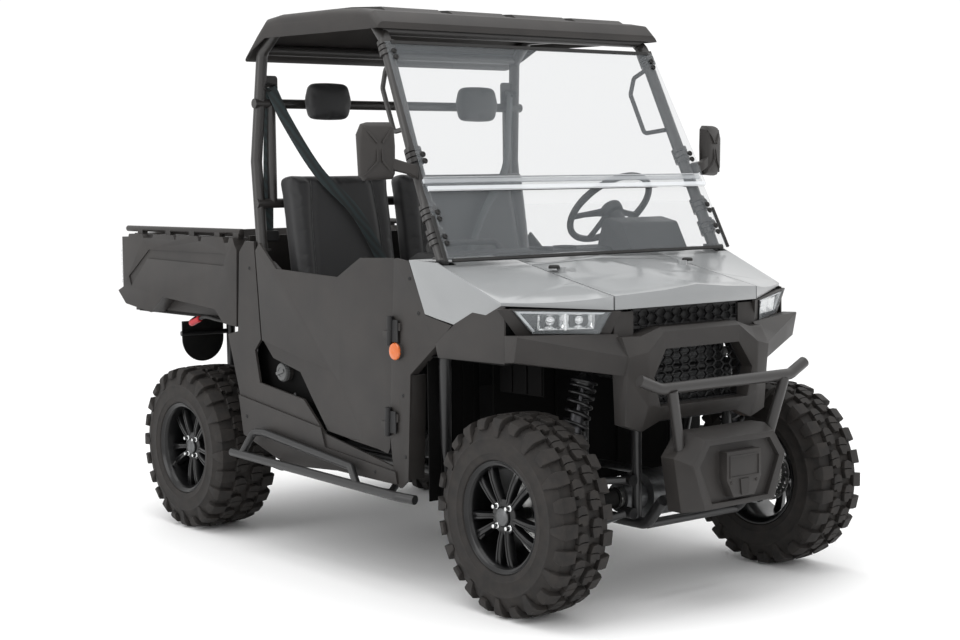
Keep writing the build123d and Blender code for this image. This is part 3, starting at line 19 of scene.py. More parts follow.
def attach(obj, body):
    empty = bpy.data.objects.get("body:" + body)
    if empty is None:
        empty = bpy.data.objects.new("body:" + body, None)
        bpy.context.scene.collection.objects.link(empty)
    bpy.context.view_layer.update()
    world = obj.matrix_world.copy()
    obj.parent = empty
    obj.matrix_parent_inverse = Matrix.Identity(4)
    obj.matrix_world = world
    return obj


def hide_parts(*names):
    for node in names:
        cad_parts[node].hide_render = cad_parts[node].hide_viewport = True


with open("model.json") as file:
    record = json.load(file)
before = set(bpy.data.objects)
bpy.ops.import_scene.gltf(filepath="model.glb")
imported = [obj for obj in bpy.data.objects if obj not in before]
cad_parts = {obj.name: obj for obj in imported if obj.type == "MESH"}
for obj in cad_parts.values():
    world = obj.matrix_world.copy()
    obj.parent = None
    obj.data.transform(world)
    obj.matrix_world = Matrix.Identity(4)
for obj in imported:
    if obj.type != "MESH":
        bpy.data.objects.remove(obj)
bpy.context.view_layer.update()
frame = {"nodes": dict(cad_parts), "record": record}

log = logging.getLogger("utility_vehicle")
logging.basicConfig(level=logging.INFO, format="%(name)s: %(message)s")

MM = 0.001
Point = Sequence[float]


# ---- Colour and node helpers ---------------------------------------------------------


def linear(hex_colour: str, alpha: float = 1.0) -> tuple[float, float, float, float]:
    """Turns an sRGB hex colour into linear light.

    Args:
        hex_colour: Six hexadecimal digits, with or without a leading hash.
        alpha: Opacity to carry along.

    Returns:
        Linear red, green and blue, with the opacity.
    """
    digits = hex_colour.lstrip("#")
    parts = [int(digits[i : i + 2], 16) / 255 for i in (0, 2, 4)]
    lit = [p / 12.92 if p <= 0.04045 else ((p + 0.055) / 1.055) ** 2.4 for p in parts]
    return (lit[0], lit[1], lit[2], alpha)


def add_node(
    tree: bpy.types.NodeTree,
    kind: str,
    inputs: Optional[dict[str | int, object]] = None,
    **settings: object,
) -> bpy.types.Node:
    """Adds one shader node with its settings and links.

    Args:
        tree: Node tree that receives the node.
        kind: Node type without its ShaderNode prefix.
        inputs: Value or output socket for each input, by name or index.
        **settings: Attributes of the node itself.

    Returns:
        The new node.
    """
    node = tree.nodes.new("ShaderNode" + kind)
    for name, value in settings.items():
        setattr(node, name, value)
    for key, value in (inputs or {}).items():
        if isinstance(value, bpy.types.NodeSocket):
            tree.links.new(value, node.inputs[key])
        else:
            node.inputs[key].default_value = value
    return node


def per_metre(size_mm: float) -> float:
    """Texture scale whose features measure size_mm."""
    return 1000.0 / size_mm


# ---- Finishes ------------------------------------------------------------------------


class Sheen(Enum):
    """Microfacet roughness of the usual surface grades."""

    MATT = 0.72
    EGGSHELL = 0.55
    SATIN = 0.42
    SEMI_GLOSS = 0.28
    GLOSS = 0.14
    POLISHED = 0.06


@dataclass(frozen=True)
class Finish:
    """One surface finish, built as a material the first time it is used.

    Attributes:
        name: Name of the material.
        slot: The record's material slot that it belongs to.
        colour: Body colour, as sRGB hex.
        sheen: Surface grade.
    """

    name: str
    slot: str
    colour: str
    sheen: Sheen = Sheen.SATIN

    def material(self) -> bpy.types.Material:
        """Returns the finish's material, building it on first use."""
        made = bpy.data.materials.get(self.name)
        if made is None:
            made = bpy.data.materials.new(self.name)
            made.use_nodes = True
            made.node_tree.nodes.clear()
            shader = add_node(made.node_tree, "BsdfPrincipled")
            shader.inputs["Base Color"].default_value = linear(self.colour)
            shader.inputs["Roughness"].default_value = self.sheen.value
            add_node(made.node_tree, "OutputMaterial", {"Surface": shader.outputs[0]})
            place = add_node(made.node_tree, "TexCoord").outputs["Object"]
            self.detail(made.node_tree, shader, place)
            made.diffuse_color = linear(self.colour)
        return made

    def detail(self, tree: bpy.types.NodeTree, shader: bpy.types.Node, place: bpy.types.NodeSocket) -> None:
        """Adds the finish's own texture.

        Args:
            tree: The material's node tree.
            shader: Its principled shader.
            place: Position in the vehicle's frame, in metres.
        """

    def two_tone(
        self,
        tree: bpy.types.NodeTree,
        shader: bpy.types.Node,
        place: bpy.types.NodeSocket,
        other: str,
        patch_mm: float,
        share: float = 0.5,
    ) -> bpy.types.NodeSocket:
        """Varies the colour between the finish's own and another in soft patches.

        Args:
            tree: The material's node tree.
            shader: Shader whose base colour is driven.
            place: Position socket.
            other: The second colour, as sRGB hex.
            patch_mm: Size of a patch.
            share: Middle of the blend between the two.

        Returns:
            The patch pattern, from 0 to 1.
        """
        patches = add_node(
            tree, "TexNoise",
            {"Vector": place, "Scale": per_metre(patch_mm), "Detail": 5.0, "Roughness": 0.6},
        )
        spread = add_node(
            tree,
            "MapRange",
            {"Value": patches.outputs[0], "From Min": share - 0.2, "From Max": share + 0.2},
        )
        mix = add_node(
            tree,
            "MixRGB",
            {"Fac": spread.outputs[0], "Color1": linear(self.colour), "Color2": linear(other)},
        )
        tree.links.new(mix.outputs[0], shader.inputs["Base Color"])
        return spread.outputs[0]

    def bump(
        self,
        tree: bpy.types.NodeTree,
        shader: bpy.types.Node,
        height: bpy.types.NodeSocket,
        depth_mm: float,
        strength: float = 0.5,
    ) -> None:
        """Raises the surface by a pattern.

        Args:
            tree: The material's node tree.
            shader: Shader whose normal is driven.
            height: Pattern, from 0 to 1.
            depth_mm: Height of the pattern's relief.
            strength: How much of the relief shows.
        """
        relief = add_node(tree, "Bump", {"Height": height, "Distance": depth_mm * MM, "Strength": strength})
        tree.links.new(relief.outputs[0], shader.inputs["Normal"])


@dataclass(frozen=True)
class MouldedPlastic(Finish):
    """Injection-moulded polypropylene with a fine leather grain: it breaks up the highlights.

    Attributes:
        worn: Second colour, where the sun and hands have dulled it.
        grain_mm: Spacing of the grain, drawn coarser than its true 0.7 mm so that it shows.
        relief_mm: Depth of the grain.
        gloss: Strength of its reflection.
    """

    worn: str = "5a5654"
    grain_mm: float = 2.6
    relief_mm: float = 0.25
    gloss: float = 0.4

    def detail(self, tree: bpy.types.NodeTree, shader: bpy.types.Node, place: bpy.types.NodeSocket) -> None:
        """Adds patches of wear and the moulded grain."""
        self.two_tone(tree, shader, place, self.worn, 160)
        grain = add_node(
            tree, "TexVoronoi", {"Vector": place, "Scale": per_metre(self.grain_mm)}, feature="SMOOTH_F1",
        )
        fine = add_node(tree, "TexNoise", {"Vector": place, "Scale": per_metre(1.4), "Detail": 3.0})
        both = add_node(tree, "Math", {0: grain.outputs[0], 1: fine.outputs[0]}, operation="ADD")
        self.bump(tree, shader, both.outputs[0], self.relief_mm, 0.35)
        shine = add_node(
            tree,
            "MapRange",
            {"Value": fine.outputs[0], "To Min": self.sheen.value - 0.06, "To Max": self.sheen.value + 0.08},
        )
        tree.links.new(shine.outputs[0], shader.inputs["Roughness"])
        shader.inputs["IOR"].default_value = 1.49
        shader.inputs["Specular IOR Level"].default_value = self.gloss


@dataclass(frozen=True)
class GlossPlastic(Finish):
    """Moulded-in-colour gloss thermoplastic: a clear, slightly wavy reflection.

    Attributes:
        shade: Second colour of the pigment's soft variation.
    """

    shade: str = "a9abab"

    def detail(self, tree: bpy.types.NodeTree, shader: bpy.types.Node, place: bpy.types.NodeSocket) -> None:
        """Adds pigment variation, moulding waves and a clear surface."""
        self.two_tone(tree, shader, place, self.shade, 420)
        waves = add_node(tree, "TexNoise", {"Vector": place, "Scale": per_metre(90), "Detail": 2.0})
        self.bump(tree, shader, waves.outputs[0], 0.6, 0.08)
        shader.inputs["IOR"].default_value = 1.52
        shader.inputs["Coat Weight"].default_value = 0.35
        shader.inputs["Coat Roughness"].default_value = 0.1


@dataclass(frozen=True)
class PowderCoat(Finish):
    """Baked powder on steel tube: a faint orange peel under a soft highlight.

    Attributes:
        peel_mm: Spacing of the orange peel.
    """

    peel_mm: float = 3.0

    def detail(self, tree: bpy.types.NodeTree, shader: bpy.types.Node, place: bpy.types.NodeSocket) -> None:
        """Adds the orange peel and a little metal flake."""
        peel = add_node(tree, "TexNoise", {"Vector": place, "Scale": per_metre(self.peel_mm), "Detail": 2.0})
        self.bump(tree, shader, peel.outputs[0], 0.2, 0.25)
        dust = add_node(tree, "TexNoise", {"Vector": place, "Scale": per_metre(70), "Detail": 4.0})
        shine = add_node(
            tree,
            "MapRange",
            {"Value": dust.outputs[0], "To Min": self.sheen.value - 0.07, "To Max": self.sheen.value + 0.09},
        )
        tree.links.new(shine.outputs[0], shader.inputs["Roughness"])
        shader.inputs["IOR"].default_value = 1.5
        shader.inputs["Coat Weight"].default_value = 0.15


@dataclass(frozen=True)
class Enamel(Finish):
    """Sprayed gloss enamel on cast alloy: deep and clear, with a hard edge to each highlight."""

    def detail(self, tree: bpy.types.NodeTree, shader: bpy.types.Node, place: bpy.types.NodeSocket) -> None:
        """Adds a clear coat and a trace of dust."""
        dust = add_node(tree, "TexNoise", {"Vector": place, "Scale": per_metre(30), "Detail": 5.0})
        shine = add_node(
            tree,
            "MapRange",
            {"Value": dust.outputs[0], "To Min": self.sheen.value, "To Max": self.sheen.value + 0.1},
        )
        tree.links.new(shine.outputs[0], shader.inputs["Roughness"])
        shader.inputs["Specular IOR Level"].default_value = 0.3
        shader.inputs["Coat Weight"].default_value = 0.2
        shader.inputs["Coat Roughness"].default_value = 0.05


@dataclass(frozen=True)
class BareMetal(Finish):
    """Bare metal: cast, machined or plated, by its grain.

    Attributes:
        grain_mm: Size of the casting's or the tool's marks.
        relief_mm: Depth of the marks.
        dull: Second colour, in the hollows.
    """

    grain_mm: float = 2.0
    relief_mm: float = 0.15
    dull: str = "6b6b6a"

    def detail(self, tree: bpy.types.NodeTree, shader: bpy.types.Node, place: bpy.types.NodeSocket) -> None:
        """Adds metallic reflection and the surface's marks."""
        self.two_tone(tree, shader, place, self.dull, 24, 0.62)
        marks = add_node(
            tree, "TexNoise", {"Vector": place, "Scale": per_metre(self.grain_mm), "Detail": 3.0},
        )
        self.bump(tree, shader, marks.outputs[0], self.relief_mm, 0.3)
        shader.inputs["Metallic"].default_value = 1.0


@dataclass(frozen=True)
class TyreRubber(Finish):
    """Carbon-black tyre rubber with road dust: nearly matt, brown in its hollows.

    Attributes:
        dust: Colour of the dust.
    """

    dust: str = "25211e"

    def detail(self, tree: bpy.types.NodeTree, shader: bpy.types.Node, place: bpy.types.NodeSocket) -> None:
        """Adds dust, and the fine texture of moulded rubber."""
        self.two_tone(tree, shader, place, self.dust, 40)
        mould = add_node(tree, "TexNoise", {"Vector": place, "Scale": per_metre(1.8), "Detail": 4.0})
        self.bump(tree, shader, mould.outputs[0], 0.3, 0.35)
        shader.inputs["IOR"].default_value = 1.52
        shader.inputs["Specular IOR Level"].default_value = 0.35


@dataclass(frozen=True)
class Vinyl(Finish):
    """Expanded vinyl seat cover: pebble grain with a soft bloom at glancing angles.

    Attributes:
        pebble_mm: Size of a pebble, drawn coarser than its true 1 mm so that it shows.
    """

    pebble_mm: float = 3.0

    def detail(self, tree: bpy.types.NodeTree, shader: bpy.types.Node, place: bpy.types.NodeSocket) -> None:
        """Adds pebble grain and creases."""
        self.two_tone(tree, shader, place, "131315", 120)
        pebble = add_node(
            tree, "TexVoronoi", {"Vector": place, "Scale": per_metre(self.pebble_mm)},
            feature="DISTANCE_TO_EDGE",
        )
        crease = add_node(tree, "TexNoise", {"Vector": place, "Scale": per_metre(60), "Detail": 3.0})
        both = add_node(tree, "Math", {0: pebble.outputs[0], 1: crease.outputs[0]}, operation="ADD")
        self.bump(tree, shader, both.outputs[0], 0.5, 0.3)
        shader.inputs["IOR"].default_value = 1.5
        shader.inputs["Sheen Weight"].default_value = 0.15
        shader.inputs["Sheen Roughness"].default_value = 0.5


@dataclass(frozen=True)
class Webbing(Finish):
    """Woven polyester webbing: a twill of 1.5 mm threads, drawn at 3 mm so that it shows.

    Attributes:
        thread_mm: Spacing of the threads.
        light: Colour of the raised threads.
    """

    thread_mm: float = 3.0
    light: str = "30403f"

    def detail(self, tree: bpy.types.NodeTree, shader: bpy.types.Node, place: bpy.types.NodeSocket) -> None:
        """Adds the twill."""
        twill = add_node(
            tree,
            "TexWave",
            {"Vector": place, "Scale": per_metre(self.thread_mm) / 20, "Distortion": 1.2, "Detail": 2.0},
            bands_direction="DIAGONAL",
        )
        mix = add_node(
            tree, "MixRGB",
            {"Fac": twill.outputs[0], "Color1": linear(self.colour), "Color2": linear(self.light)},
        )
        tree.links.new(mix.outputs[0], shader.inputs["Base Color"])
        self.bump(tree, shader, twill.outputs[0], 0.4, 0.5)
        shader.inputs["Sheen Weight"].default_value = 0.3


@dataclass(frozen=True)
class ClearSheet(Finish):
    """Clear polycarbonate: a faint tint, hard-coated, with a trace of wiping haze.

    Attributes:
        opacity: Share of light that the sheet stops.
    """

    opacity: float = 0.2

    def detail(self, tree: bpy.types.NodeTree, shader: bpy.types.Node, place: bpy.types.NodeSocket) -> None:
        """Adds transparency and haze."""
        haze = add_node(tree, "TexNoise", {"Vector": place, "Scale": per_metre(180), "Detail": 4.0})
        shine = add_node(tree, "MapRange", {"Value": haze.outputs[0], "To Min": 0.02, "To Max": 0.1})
        tree.links.new(shine.outputs[0], shader.inputs["Roughness"])
        shader.inputs["IOR"].default_value = 1.58
        shader.inputs["Alpha"].default_value = self.opacity
        shader.inputs["Specular IOR Level"].default_value = 0.6


CHARCOAL_PLASTIC = MouldedPlastic(
    "charcoal_moulded_polypropylene", "body_charcoal", "242221", Sheen.EGGSHELL, worn="2d2a28",
)
BLACK_PLASTIC = MouldedPlastic(
    "black_moulded_polypropylene", "black_plastic", "121213", Sheen.EGGSHELL, worn="1a1a1b",
)
GREY_PANEL = GlossPlastic(
    "light_grey_gloss_thermoplastic", "body_grey", "8b8d8e", Sheen.SEMI_GLOSS, shade="858788",
)
CAGE_COAT = PowderCoat("charcoal_powder_coat", "cage_charcoal", "262423", Sheen.SATIN)
BLACK_COAT = PowderCoat("black_powder_coat", "frame_black", "111112", Sheen.SATIN)
WHEEL_ENAMEL = Enamel("black_gloss_enamel", "alloy", "060607", Sheen.SEMI_GLOSS)
CAST_IRON = BareMetal("cast_iron", "casting", "3a3a3a", Sheen.EGGSHELL, dull="282726")
CAST_ALUMINIUM = BareMetal("cast_aluminium", "alloy_bare", "68696a", Sheen.SATIN, dull="4a4b4b")
GROUND_STEEL = BareMetal("ground_steel", "steel", "b4b4b2", Sheen.SEMI_GLOSS, grain_mm=1.0, dull="8a8a88")
DAMPER_METAL = BareMetal("dark_anodised_aluminium", "alloy_bare", "4a4a4c", Sheen.SATIN, dull="2e2e30")
CHROME = BareMetal(
    "chrome_plate", "chrome", "dfe0e0", Sheen.POLISHED, grain_mm=30, relief_mm=0.02, dull="d0d1d2",
)
COPPER = BareMetal("copper_anodised_aluminium", "alloy_bare", "c98a5c", Sheen.SEMI_GLOSS, dull="a5673e")
TREAD_RUBBER = TyreRubber("tyre_rubber", "tyre", "151312", Sheen.MATT)
SOFT_RUBBER = TyreRubber("moulded_rubber", "rubber", "121212", Sheen.EGGSHELL, dust="1c1b1a")
SEAT_VINYL = Vinyl("pebbled_black_vinyl", "seat_cover", "0c0c0e", Sheen.EGGSHELL)
BELT_WEBBING = Webbing("woven_polyester", "webbing", "0b1213", Sheen.MATT, light="18282a")
GUARD_PLASTIC = MouldedPlastic(
    "grey_moulded_polyethylene", "body_grey", "8d8f90", Sheen.EGGSHELL, worn="7b7d7e",
)
SCREEN_SHEET = ClearSheet("clear_polycarbonate", "windshield", "8e9397", Sheen.POLISHED, opacity=0.15)
SCREEN_TINT = ClearSheet("smoked_acrylic", "lens", "101418", Sheen.POLISHED, opacity=0.92)
CLEAR_TRIM = ClearSheet("clear_edge_trim", "windshield", "f4f7fa", Sheen.POLISHED, opacity=0.55)
LAMP_LENS = ClearSheet("lamp_polycarbonate", "lens", "c9cfd2", Sheen.POLISHED, opacity=0.12)
AMBER_LENS = GlossPlastic("amber_acrylic", "lens", "d9701f", Sheen.GLOSS, shade="b9540f")
RED_LENS = GlossPlastic("red_acrylic", "lens", "a3161a", Sheen.GLOSS, shade="7c0d10")
RED_GRIP = MouldedPlastic("red_polyamide", "rubber", "b3202a", Sheen.SATIN, worn="8e1820")
RADIATOR_COAT = PowderCoat("black_radiator_paint", "frame_black", "0a0b0b", Sheen.EGGSHELL)
# near-black, nearly unreflective plastic: the liners' own black, made darker and duller than the other black
# plastic as painted shade, and a painted-shade sheet in the sill pockets
LINER_AND_SHADE_PLASTIC = MouldedPlastic(
    "black_liner_and_painted_shade", "black_plastic", "060606", Sheen.MATT, worn="0b0a0a", gloss=0.12,
)
CAP_PLASTIC = MouldedPlastic("grey_polyamide", "black_plastic", "4b4c4c", Sheen.SATIN, worn="5c5d5d")
THREAD = Webbing("seat_thread", "seat_cover", "2b2b2c", Sheen.MATT, light="3c3c3d")

# finish of each CAD node that keeps its own mesh
NODE_FINISHES: dict[str, Finish] = {
    "chassis_rear": BLACK_COAT,
    "chassis_front": BLACK_COAT,
    "cab_frame": BLACK_COAT,
    "suspension_arms": BLACK_COAT,
    "shocks": GROUND_STEEL,
    "drive_shafts": BLACK_COAT,
    "rear_hubs": CAST_IRON,
    "knuckle_left": CAST_IRON,
    "knuckle_right": CAST_IRON,
    "powertrain": CAST_ALUMINIUM,
    "cab_floor": BLACK_PLASTIC,
    "seat_base": BLACK_PLASTIC,
    "seat_cushions": SEAT_VINYL,
    "seat_backs": SEAT_VINYL,
    "headrests": SEAT_VINYL,
    "rops_left": CAGE_COAT,
    "rops_right": CAGE_COAT,
    "rops_cross": CAGE_COAT,
    "roof": CHARCOAL_PLASTIC,
    "windshield": SCREEN_SHEET,
    "dashboard": BLACK_PLASTIC,
    "steering_wheel": BLACK_PLASTIC,
    "hood": GREY_PANEL,
    "cowl": GREY_PANEL,
    "headlamps": LAMP_LENS,
    "fenders": GREY_PANEL,
    "arches": CHARCOAL_PLASTIC,
    "nose": CHARCOAL_PLASTIC,
    "grille": BLACK_PLASTIC,
    "radiator": CAST_ALUMINIUM,
    "bumper_bar": CAGE_COAT,
    "bumper_cover": CHARCOAL_PLASTIC,
    "door_left": CHARCOAL_PLASTIC,
    "door_right": CHARCOAL_PLASTIC,
    "quarter_panels": CHARCOAL_PLASTIC,
    "side_panels": CHARCOAL_PLASTIC,
    "side_steps": BLACK_COAT,
    "bed_floor": BLACK_PLASTIC,
    "bed_front": CHARCOAL_PLASTIC,
    "bed_side_left": CHARCOAL_PLASTIC,
    "bed_side_right": CHARCOAL_PLASTIC,
    "tailgate": CHARCOAL_PLASTIC,
    "tail_lamps": LAMP_LENS,
    "strut_tube": BLACK_COAT,
    "strut_rod": CHROME,
    "mirrors": BLACK_PLASTIC,
    "splash_guards": SOFT_RUBBER,
    "seat_belts": BELT_WEBBING,
    "tyre_front_left": TREAD_RUBBER,
    "tyre_front_right": TREAD_RUBBER,
    "tyre_rear_left": TREAD_RUBBER,
    "tyre_rear_right": TREAD_RUBBER,
    "rim_front_left": WHEEL_ENAMEL,
    "rim_front_right": WHEEL_ENAMEL,
    "rim_rear_left": WHEEL_ENAMEL,
    "rim_rear_right": WHEEL_ENAMEL,
}


def dress_nodes() -> None:
    """Gives every CAD node its finish."""
    for name, node in frame["nodes"].items():
        finish = NODE_FINISHES[name]
        node.data.materials.clear()
        node.data.materials.append(finish.material())
        log.info("node %s: %s", name, finish.name)


# ---- Shapes --------------------------------------------------------------------------

BODY_OF = {node: body for body, nodes in frame["record"]["behaviour"]["bodies"].items() for node in nodes}


def axes(origin: Point, across: Point, normal: Point) -> Matrix:
    """Makes a placing frame in millimetres.

    Args:
        origin: Its origin.
        across: Direction of its X.
        normal: Direction of its Z; made square to X.

    Returns:
        The matrix from that frame to the vehicle's.
    """
    along = Vector(across).normalized()
    side = Vector(normal).cross(along).normalized()
    up = along.cross(side)
    turn = Matrix((along, side, up)).transposed().to_4x4()
    return Matrix.Translation(Vector(origin)) @ turn


def curve_through(points: Sequence[Point], steps: int = 8) -> list[Vector]:
    """Runs a smooth line through points.

    Args:
        points: The points to pass.
        steps: Pieces between one point and the next.

    Returns:
        Points of the line, ends included.
    """
    known = [Vector(p) for p in points]
    known = [2 * known[0] - known[1], *known, 2 * known[-1] - known[-2]]
    line = []
    for a, b, c, d in zip(known, known[1:], known[2:], known[3:]):
        for step in range(steps):
            t = step / steps
            line.append(
                0.5 * (
                    2 * b + (c - a) * t + (2 * a - 5 * b + 4 * c - d) * t**2 + (3 * b - a - 3 * c + d) * t**3
                )
            )
    return [*line, known[-2]]


def helix(radius: float, low: float, high: float, turns: float, per_turn: int = 24) -> list[Vector]:
    """Runs a line round Z.

    Args:
        radius: Its radius.
        low: Height that it starts at.
        high: Height that it ends at.
        turns: Number of turns; the coils lie a little closer at both ends.
        per_turn: Points to a turn.

    Returns:
        Its points.
    """
    count = int(turns * per_turn)
    line = []
    for index in range(count + 1):
        share = index / count
        level = share + 0.035 * math.sin(2 * math.pi * share) * -1
        angle = 2 * math.pi * turns * share
        line.append(Vector((radius * math.cos(angle), radius * math.sin(angle), low + (high - low) * level)))
    return line


@dataclass
class Blank:
    """A piece being made, in millimetres in the vehicle's frame.

    Attributes:
        name: Name of the finished piece.
        side: 1 as drawn, on the vehicle's left; -1 mirrored to its right.
        shape: The mesh so far.
    """

    name: str
    side: int = 1
    shape: bmesh.types.BMesh = field(default_factory=bmesh.new)

    def loft(
        self,
        rings: Sequence[Sequence[Point]],
        around: bool = True,
        capped: bool = True,
        looped: bool = False,
        place: Optional[Matrix] = None,
    ) -> "Blank":
        """Skins a row of rings that have the same number of points.

        Args:
            rings: The rings.
            around: Whether each ring closes on itself.
            capped: Whether the first and last ring are filled.
            looped: Whether the last ring joins the first.
            place: Frame that the points are drawn in.

        Returns:
            The blank itself.
        """
        turn = place or Matrix.Identity(4)
        rows = [[self.shape.verts.new(turn @ Vector(p)) for p in ring] for ring in rings]
        pairs = list(zip(rows, rows[1:])) + ([(rows[-1], rows[0])] if looped else [])
        for low, high in pairs:
            last = len(low) if around else len(low) - 1
            for index in range(last):
                after = (index + 1) % len(low)
                self.shape.faces.new((low[index], low[after], high[after], high[index]))
        if capped and around and not looped:
            self.shape.faces.new(rows[0][::-1])
            self.shape.faces.new(rows[-1])
        return self

    def lathe(
        self, profile: Sequence[tuple[float, float]], place: Matrix, steps: int = 32, looped: bool = False,
    ) -> "Blank":
        """Turns a profile of radius and height about the frame's Z.

        Args:
            profile: Radius and height of each point.
            place: Frame to turn in.
            steps: Sides of the round.
            looped: Whether the profile closes on itself, as a ring does.

        Returns:
            The blank itself.
        """
        angles = [2 * math.pi * step / steps for step in range(steps)]
        rings = [
            [(radius * math.cos(a), radius * math.sin(a), height) for a in angles]
            for radius, height in profile
        ]
        return self.loft(rings, capped=not looped, looped=looped, place=place)

    def slab(self, outline: Sequence[tuple[float, float]], place: Matrix, depth: float) -> "Blank":
        """Raises a flat outline along the frame's Z.

        Args:
            outline: X and Y of its corners.
            place: Frame that it is drawn in.
            depth: How far it is raised; negative sinks it.

        Returns:
            The blank itself.
        """
        return self.loft([[(x, y, z) for x, y in outline] for z in (0, depth)], place=place)

    def box(self, low: Point, high: Point) -> "Blank":
        """Adds a block between two corners."""
        outline = ((low[0], low[1]), (high[0], low[1]), (high[0], high[1]), (low[0], high[1]))
        return self.slab(outline, Matrix.Translation((0, 0, low[2])), high[2] - low[2])

    def sweep(
        self,
        path: Sequence[Point],
        section: Sequence[tuple[float, float]],
        upright: Optional[Point] = None,
        looped: bool = False,
        place: Optional[Matrix] = None,
    ) -> "Blank":
        """Draws a section along a path.

        Args:
            path: The path's points.
            section: The section's corners, across the path and along its normal.
            upright: Direction that the normal keeps to; without it the section doesn't twist.
            looped: Whether the path closes on itself.
            place: Frame that the path is drawn in.

        Returns:
            The blank itself.
        """
        line = [Vector(p) for p in path]
        count = len(line)
        rings = []
        normal = Vector(upright).normalized() if upright else None
        for index, point in enumerate(line):
            before = line[index - 1] if index or looped else point
            after = line[(index + 1) % count] if index + 1 < count or looped else point
            along = (after - before).normalized()
            if normal is None:
                normal = along.orthogonal().normalized()
            across = along.cross(normal).normalized()
            lift = across.cross(along)
            if upright is None:
                normal = lift
            rings.append([point + across * x + lift * y for x, y in section])
        return self.loft(rings, looped=looped, capped=not looped, place=place)

    def tube(
        self, path: Sequence[Point], radius: float, steps: int = 12, looped: bool = False,
        place: Optional[Matrix] = None,
    ) -> "Blank":
        """Draws a round tube along a path."""
        round_section = [
            (
                radius * math.cos(2 * math.pi * step / steps), radius * math.sin(2 * math.pi * step / steps),
            ) for step in range(steps)
        ]
        return self.sweep(path, round_section, looped=looped, place=place)

    def rivet(self, at: Point, facing: Point, radius: float = 9.0) -> "Blank":
        """Adds a domed push-in rivet with a dished middle."""
        place = axes(at, Vector(facing).orthogonal(), facing)
        profile = (
            (radius, -1.0), (radius, 1.0), (radius * 0.8, 2.6), (radius * 0.45, 3.0), (radius * 0.4, 2.0),
            (radius * 0.1, 1.8),
        )
        return self.lathe(profile, place, 20)

    def done(
        self,
        body: str,
        finish: Finish,
        edge_mm: float = 0.0,
        smooth: float = 35.0,
        replaces: Sequence[str] = (),
    ) -> bpy.types.Object:
        """Turns the blank into a piece of the vehicle.

        Args:
            body: CAD body that it rides on.
            finish: Its finish.
            edge_mm: Size of the rounding on its edges.
            smooth: Angle, in degrees, above which an edge stays sharp.
            replaces: CAD nodes that it stands for.

        Returns:
            The piece.
        """
        scale = Matrix.Diagonal((MM, MM * self.side, MM, 1))
        self.shape.transform(scale)
        bmesh.ops.recalc_face_normals(self.shape, faces=self.shape.faces)
        mesh = bpy.data.meshes.new(self.name)
        self.shape.to_mesh(mesh)
        self.shape.free()
        return fitted(bpy.data.objects.new(self.name, mesh), body, finish, edge_mm, smooth, replaces)


def fitted(
    piece: bpy.types.Object,
    body: str,
    finish: Finish,
    edge_mm: float = 0.0,
    smooth: float = 35.0,
    replaces: Sequence[str] = (),
) -> bpy.types.Object:
    """Dresses a piece and fits it to its body.

    Args:
        piece: The piece, in metres and in place.
        body: CAD body that it rides on.
        finish: Its finish.
        edge_mm: Size of the rounding on its edges.
        smooth: Angle, in degrees, above which an edge stays sharp.
        replaces: CAD nodes that it stands for.

    Returns:
        The piece.
    """
    bpy.context.scene.collection.objects.link(piece)
    piece.data.materials.clear()
    piece.data.materials.append(finish.material())
    piece.data.polygons.foreach_set("use_smooth", [True] * len(piece.data.polygons))
    if edge_mm:
        rounding = piece.modifiers.new("edges", "BEVEL")
        rounding.width = edge_mm * MM
        rounding.segments = 2
        rounding.limit_method = "ANGLE"
        rounding.angle_limit = math.radians(smooth)
        rounding.harden_normals = True
    else:
        piece.data.set_sharp_from_angle(angle=math.radians(smooth))
    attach(piece, body)
    if replaces:
        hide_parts(*replaces)
    log.info("piece %s: %s, %d faces", piece.name, finish.name, len(piece.data.polygons))
    return piece


# ---- Moulded panels ------------------------------------------------------------------


@dataclass
class Panels:
    """Moulded skins: the CAD panels with the rounded edges that a mould leaves.

    Attributes:
        radii: Edge radius of each panel, in millimetres.
    """

    radii: dict[str, float] = field(
        default_factory=lambda: {
            "roof": 5.0,
            "hood": 2.2,
            "cowl": 2.2,
            "fenders": 2.2,
            "arches": 3.0,
            "nose": 5.0,
            "bumper_cover": 6.0,
            "door_left": 4.0,
            "door_right": 4.0,
            "quarter_panels": 4.0,
            "bed_side_left": 6.0,
            "bed_side_right": 6.0,
            "bed_front": 3.0,
            "bed_floor": 3.0,
            "tailgate": 3.0,
            "dashboard": 8.0,
            "seat_base": 12.0,
            "splash_guards": 1.5,
            "powertrain": 10.0,
        }
    )

    def build(self) -> None:
        """Rounds every panel of the table."""
        for node, radius in self.radii.items():
            self.rounded(node, radius)

    def rounded(self, node: str, radius: float) -> bpy.types.Object:
        """Rounds one panel's edges.

        Args:
            node: The CAD node.
            radius: Radius of its edges.

        Returns:
            The panel that stands for it.
        """
        cut = bmesh.new()
        cut.from_mesh(frame["nodes"][node].data)
        bmesh.ops.remove_doubles(cut, verts=cut.verts, dist=0.02 * MM)
        bmesh.ops.dissolve_limit(cut, angle_limit=math.radians(0.6), verts=cut.verts, edges=cut.edges)
        bmesh.ops.recalc_face_normals(cut, faces=cut.faces)
        mesh = bpy.data.meshes.new(f"{node}_moulding")
        cut.to_mesh(mesh)
        cut.free()
        panel = bpy.data.objects.new(mesh.name, mesh)
        return fitted(panel, BODY_OF[node], NODE_FINISHES[node], edge_mm=radius, smooth=28, replaces=(node,))


# ---- Wheels --------------------------------------------------------------------------


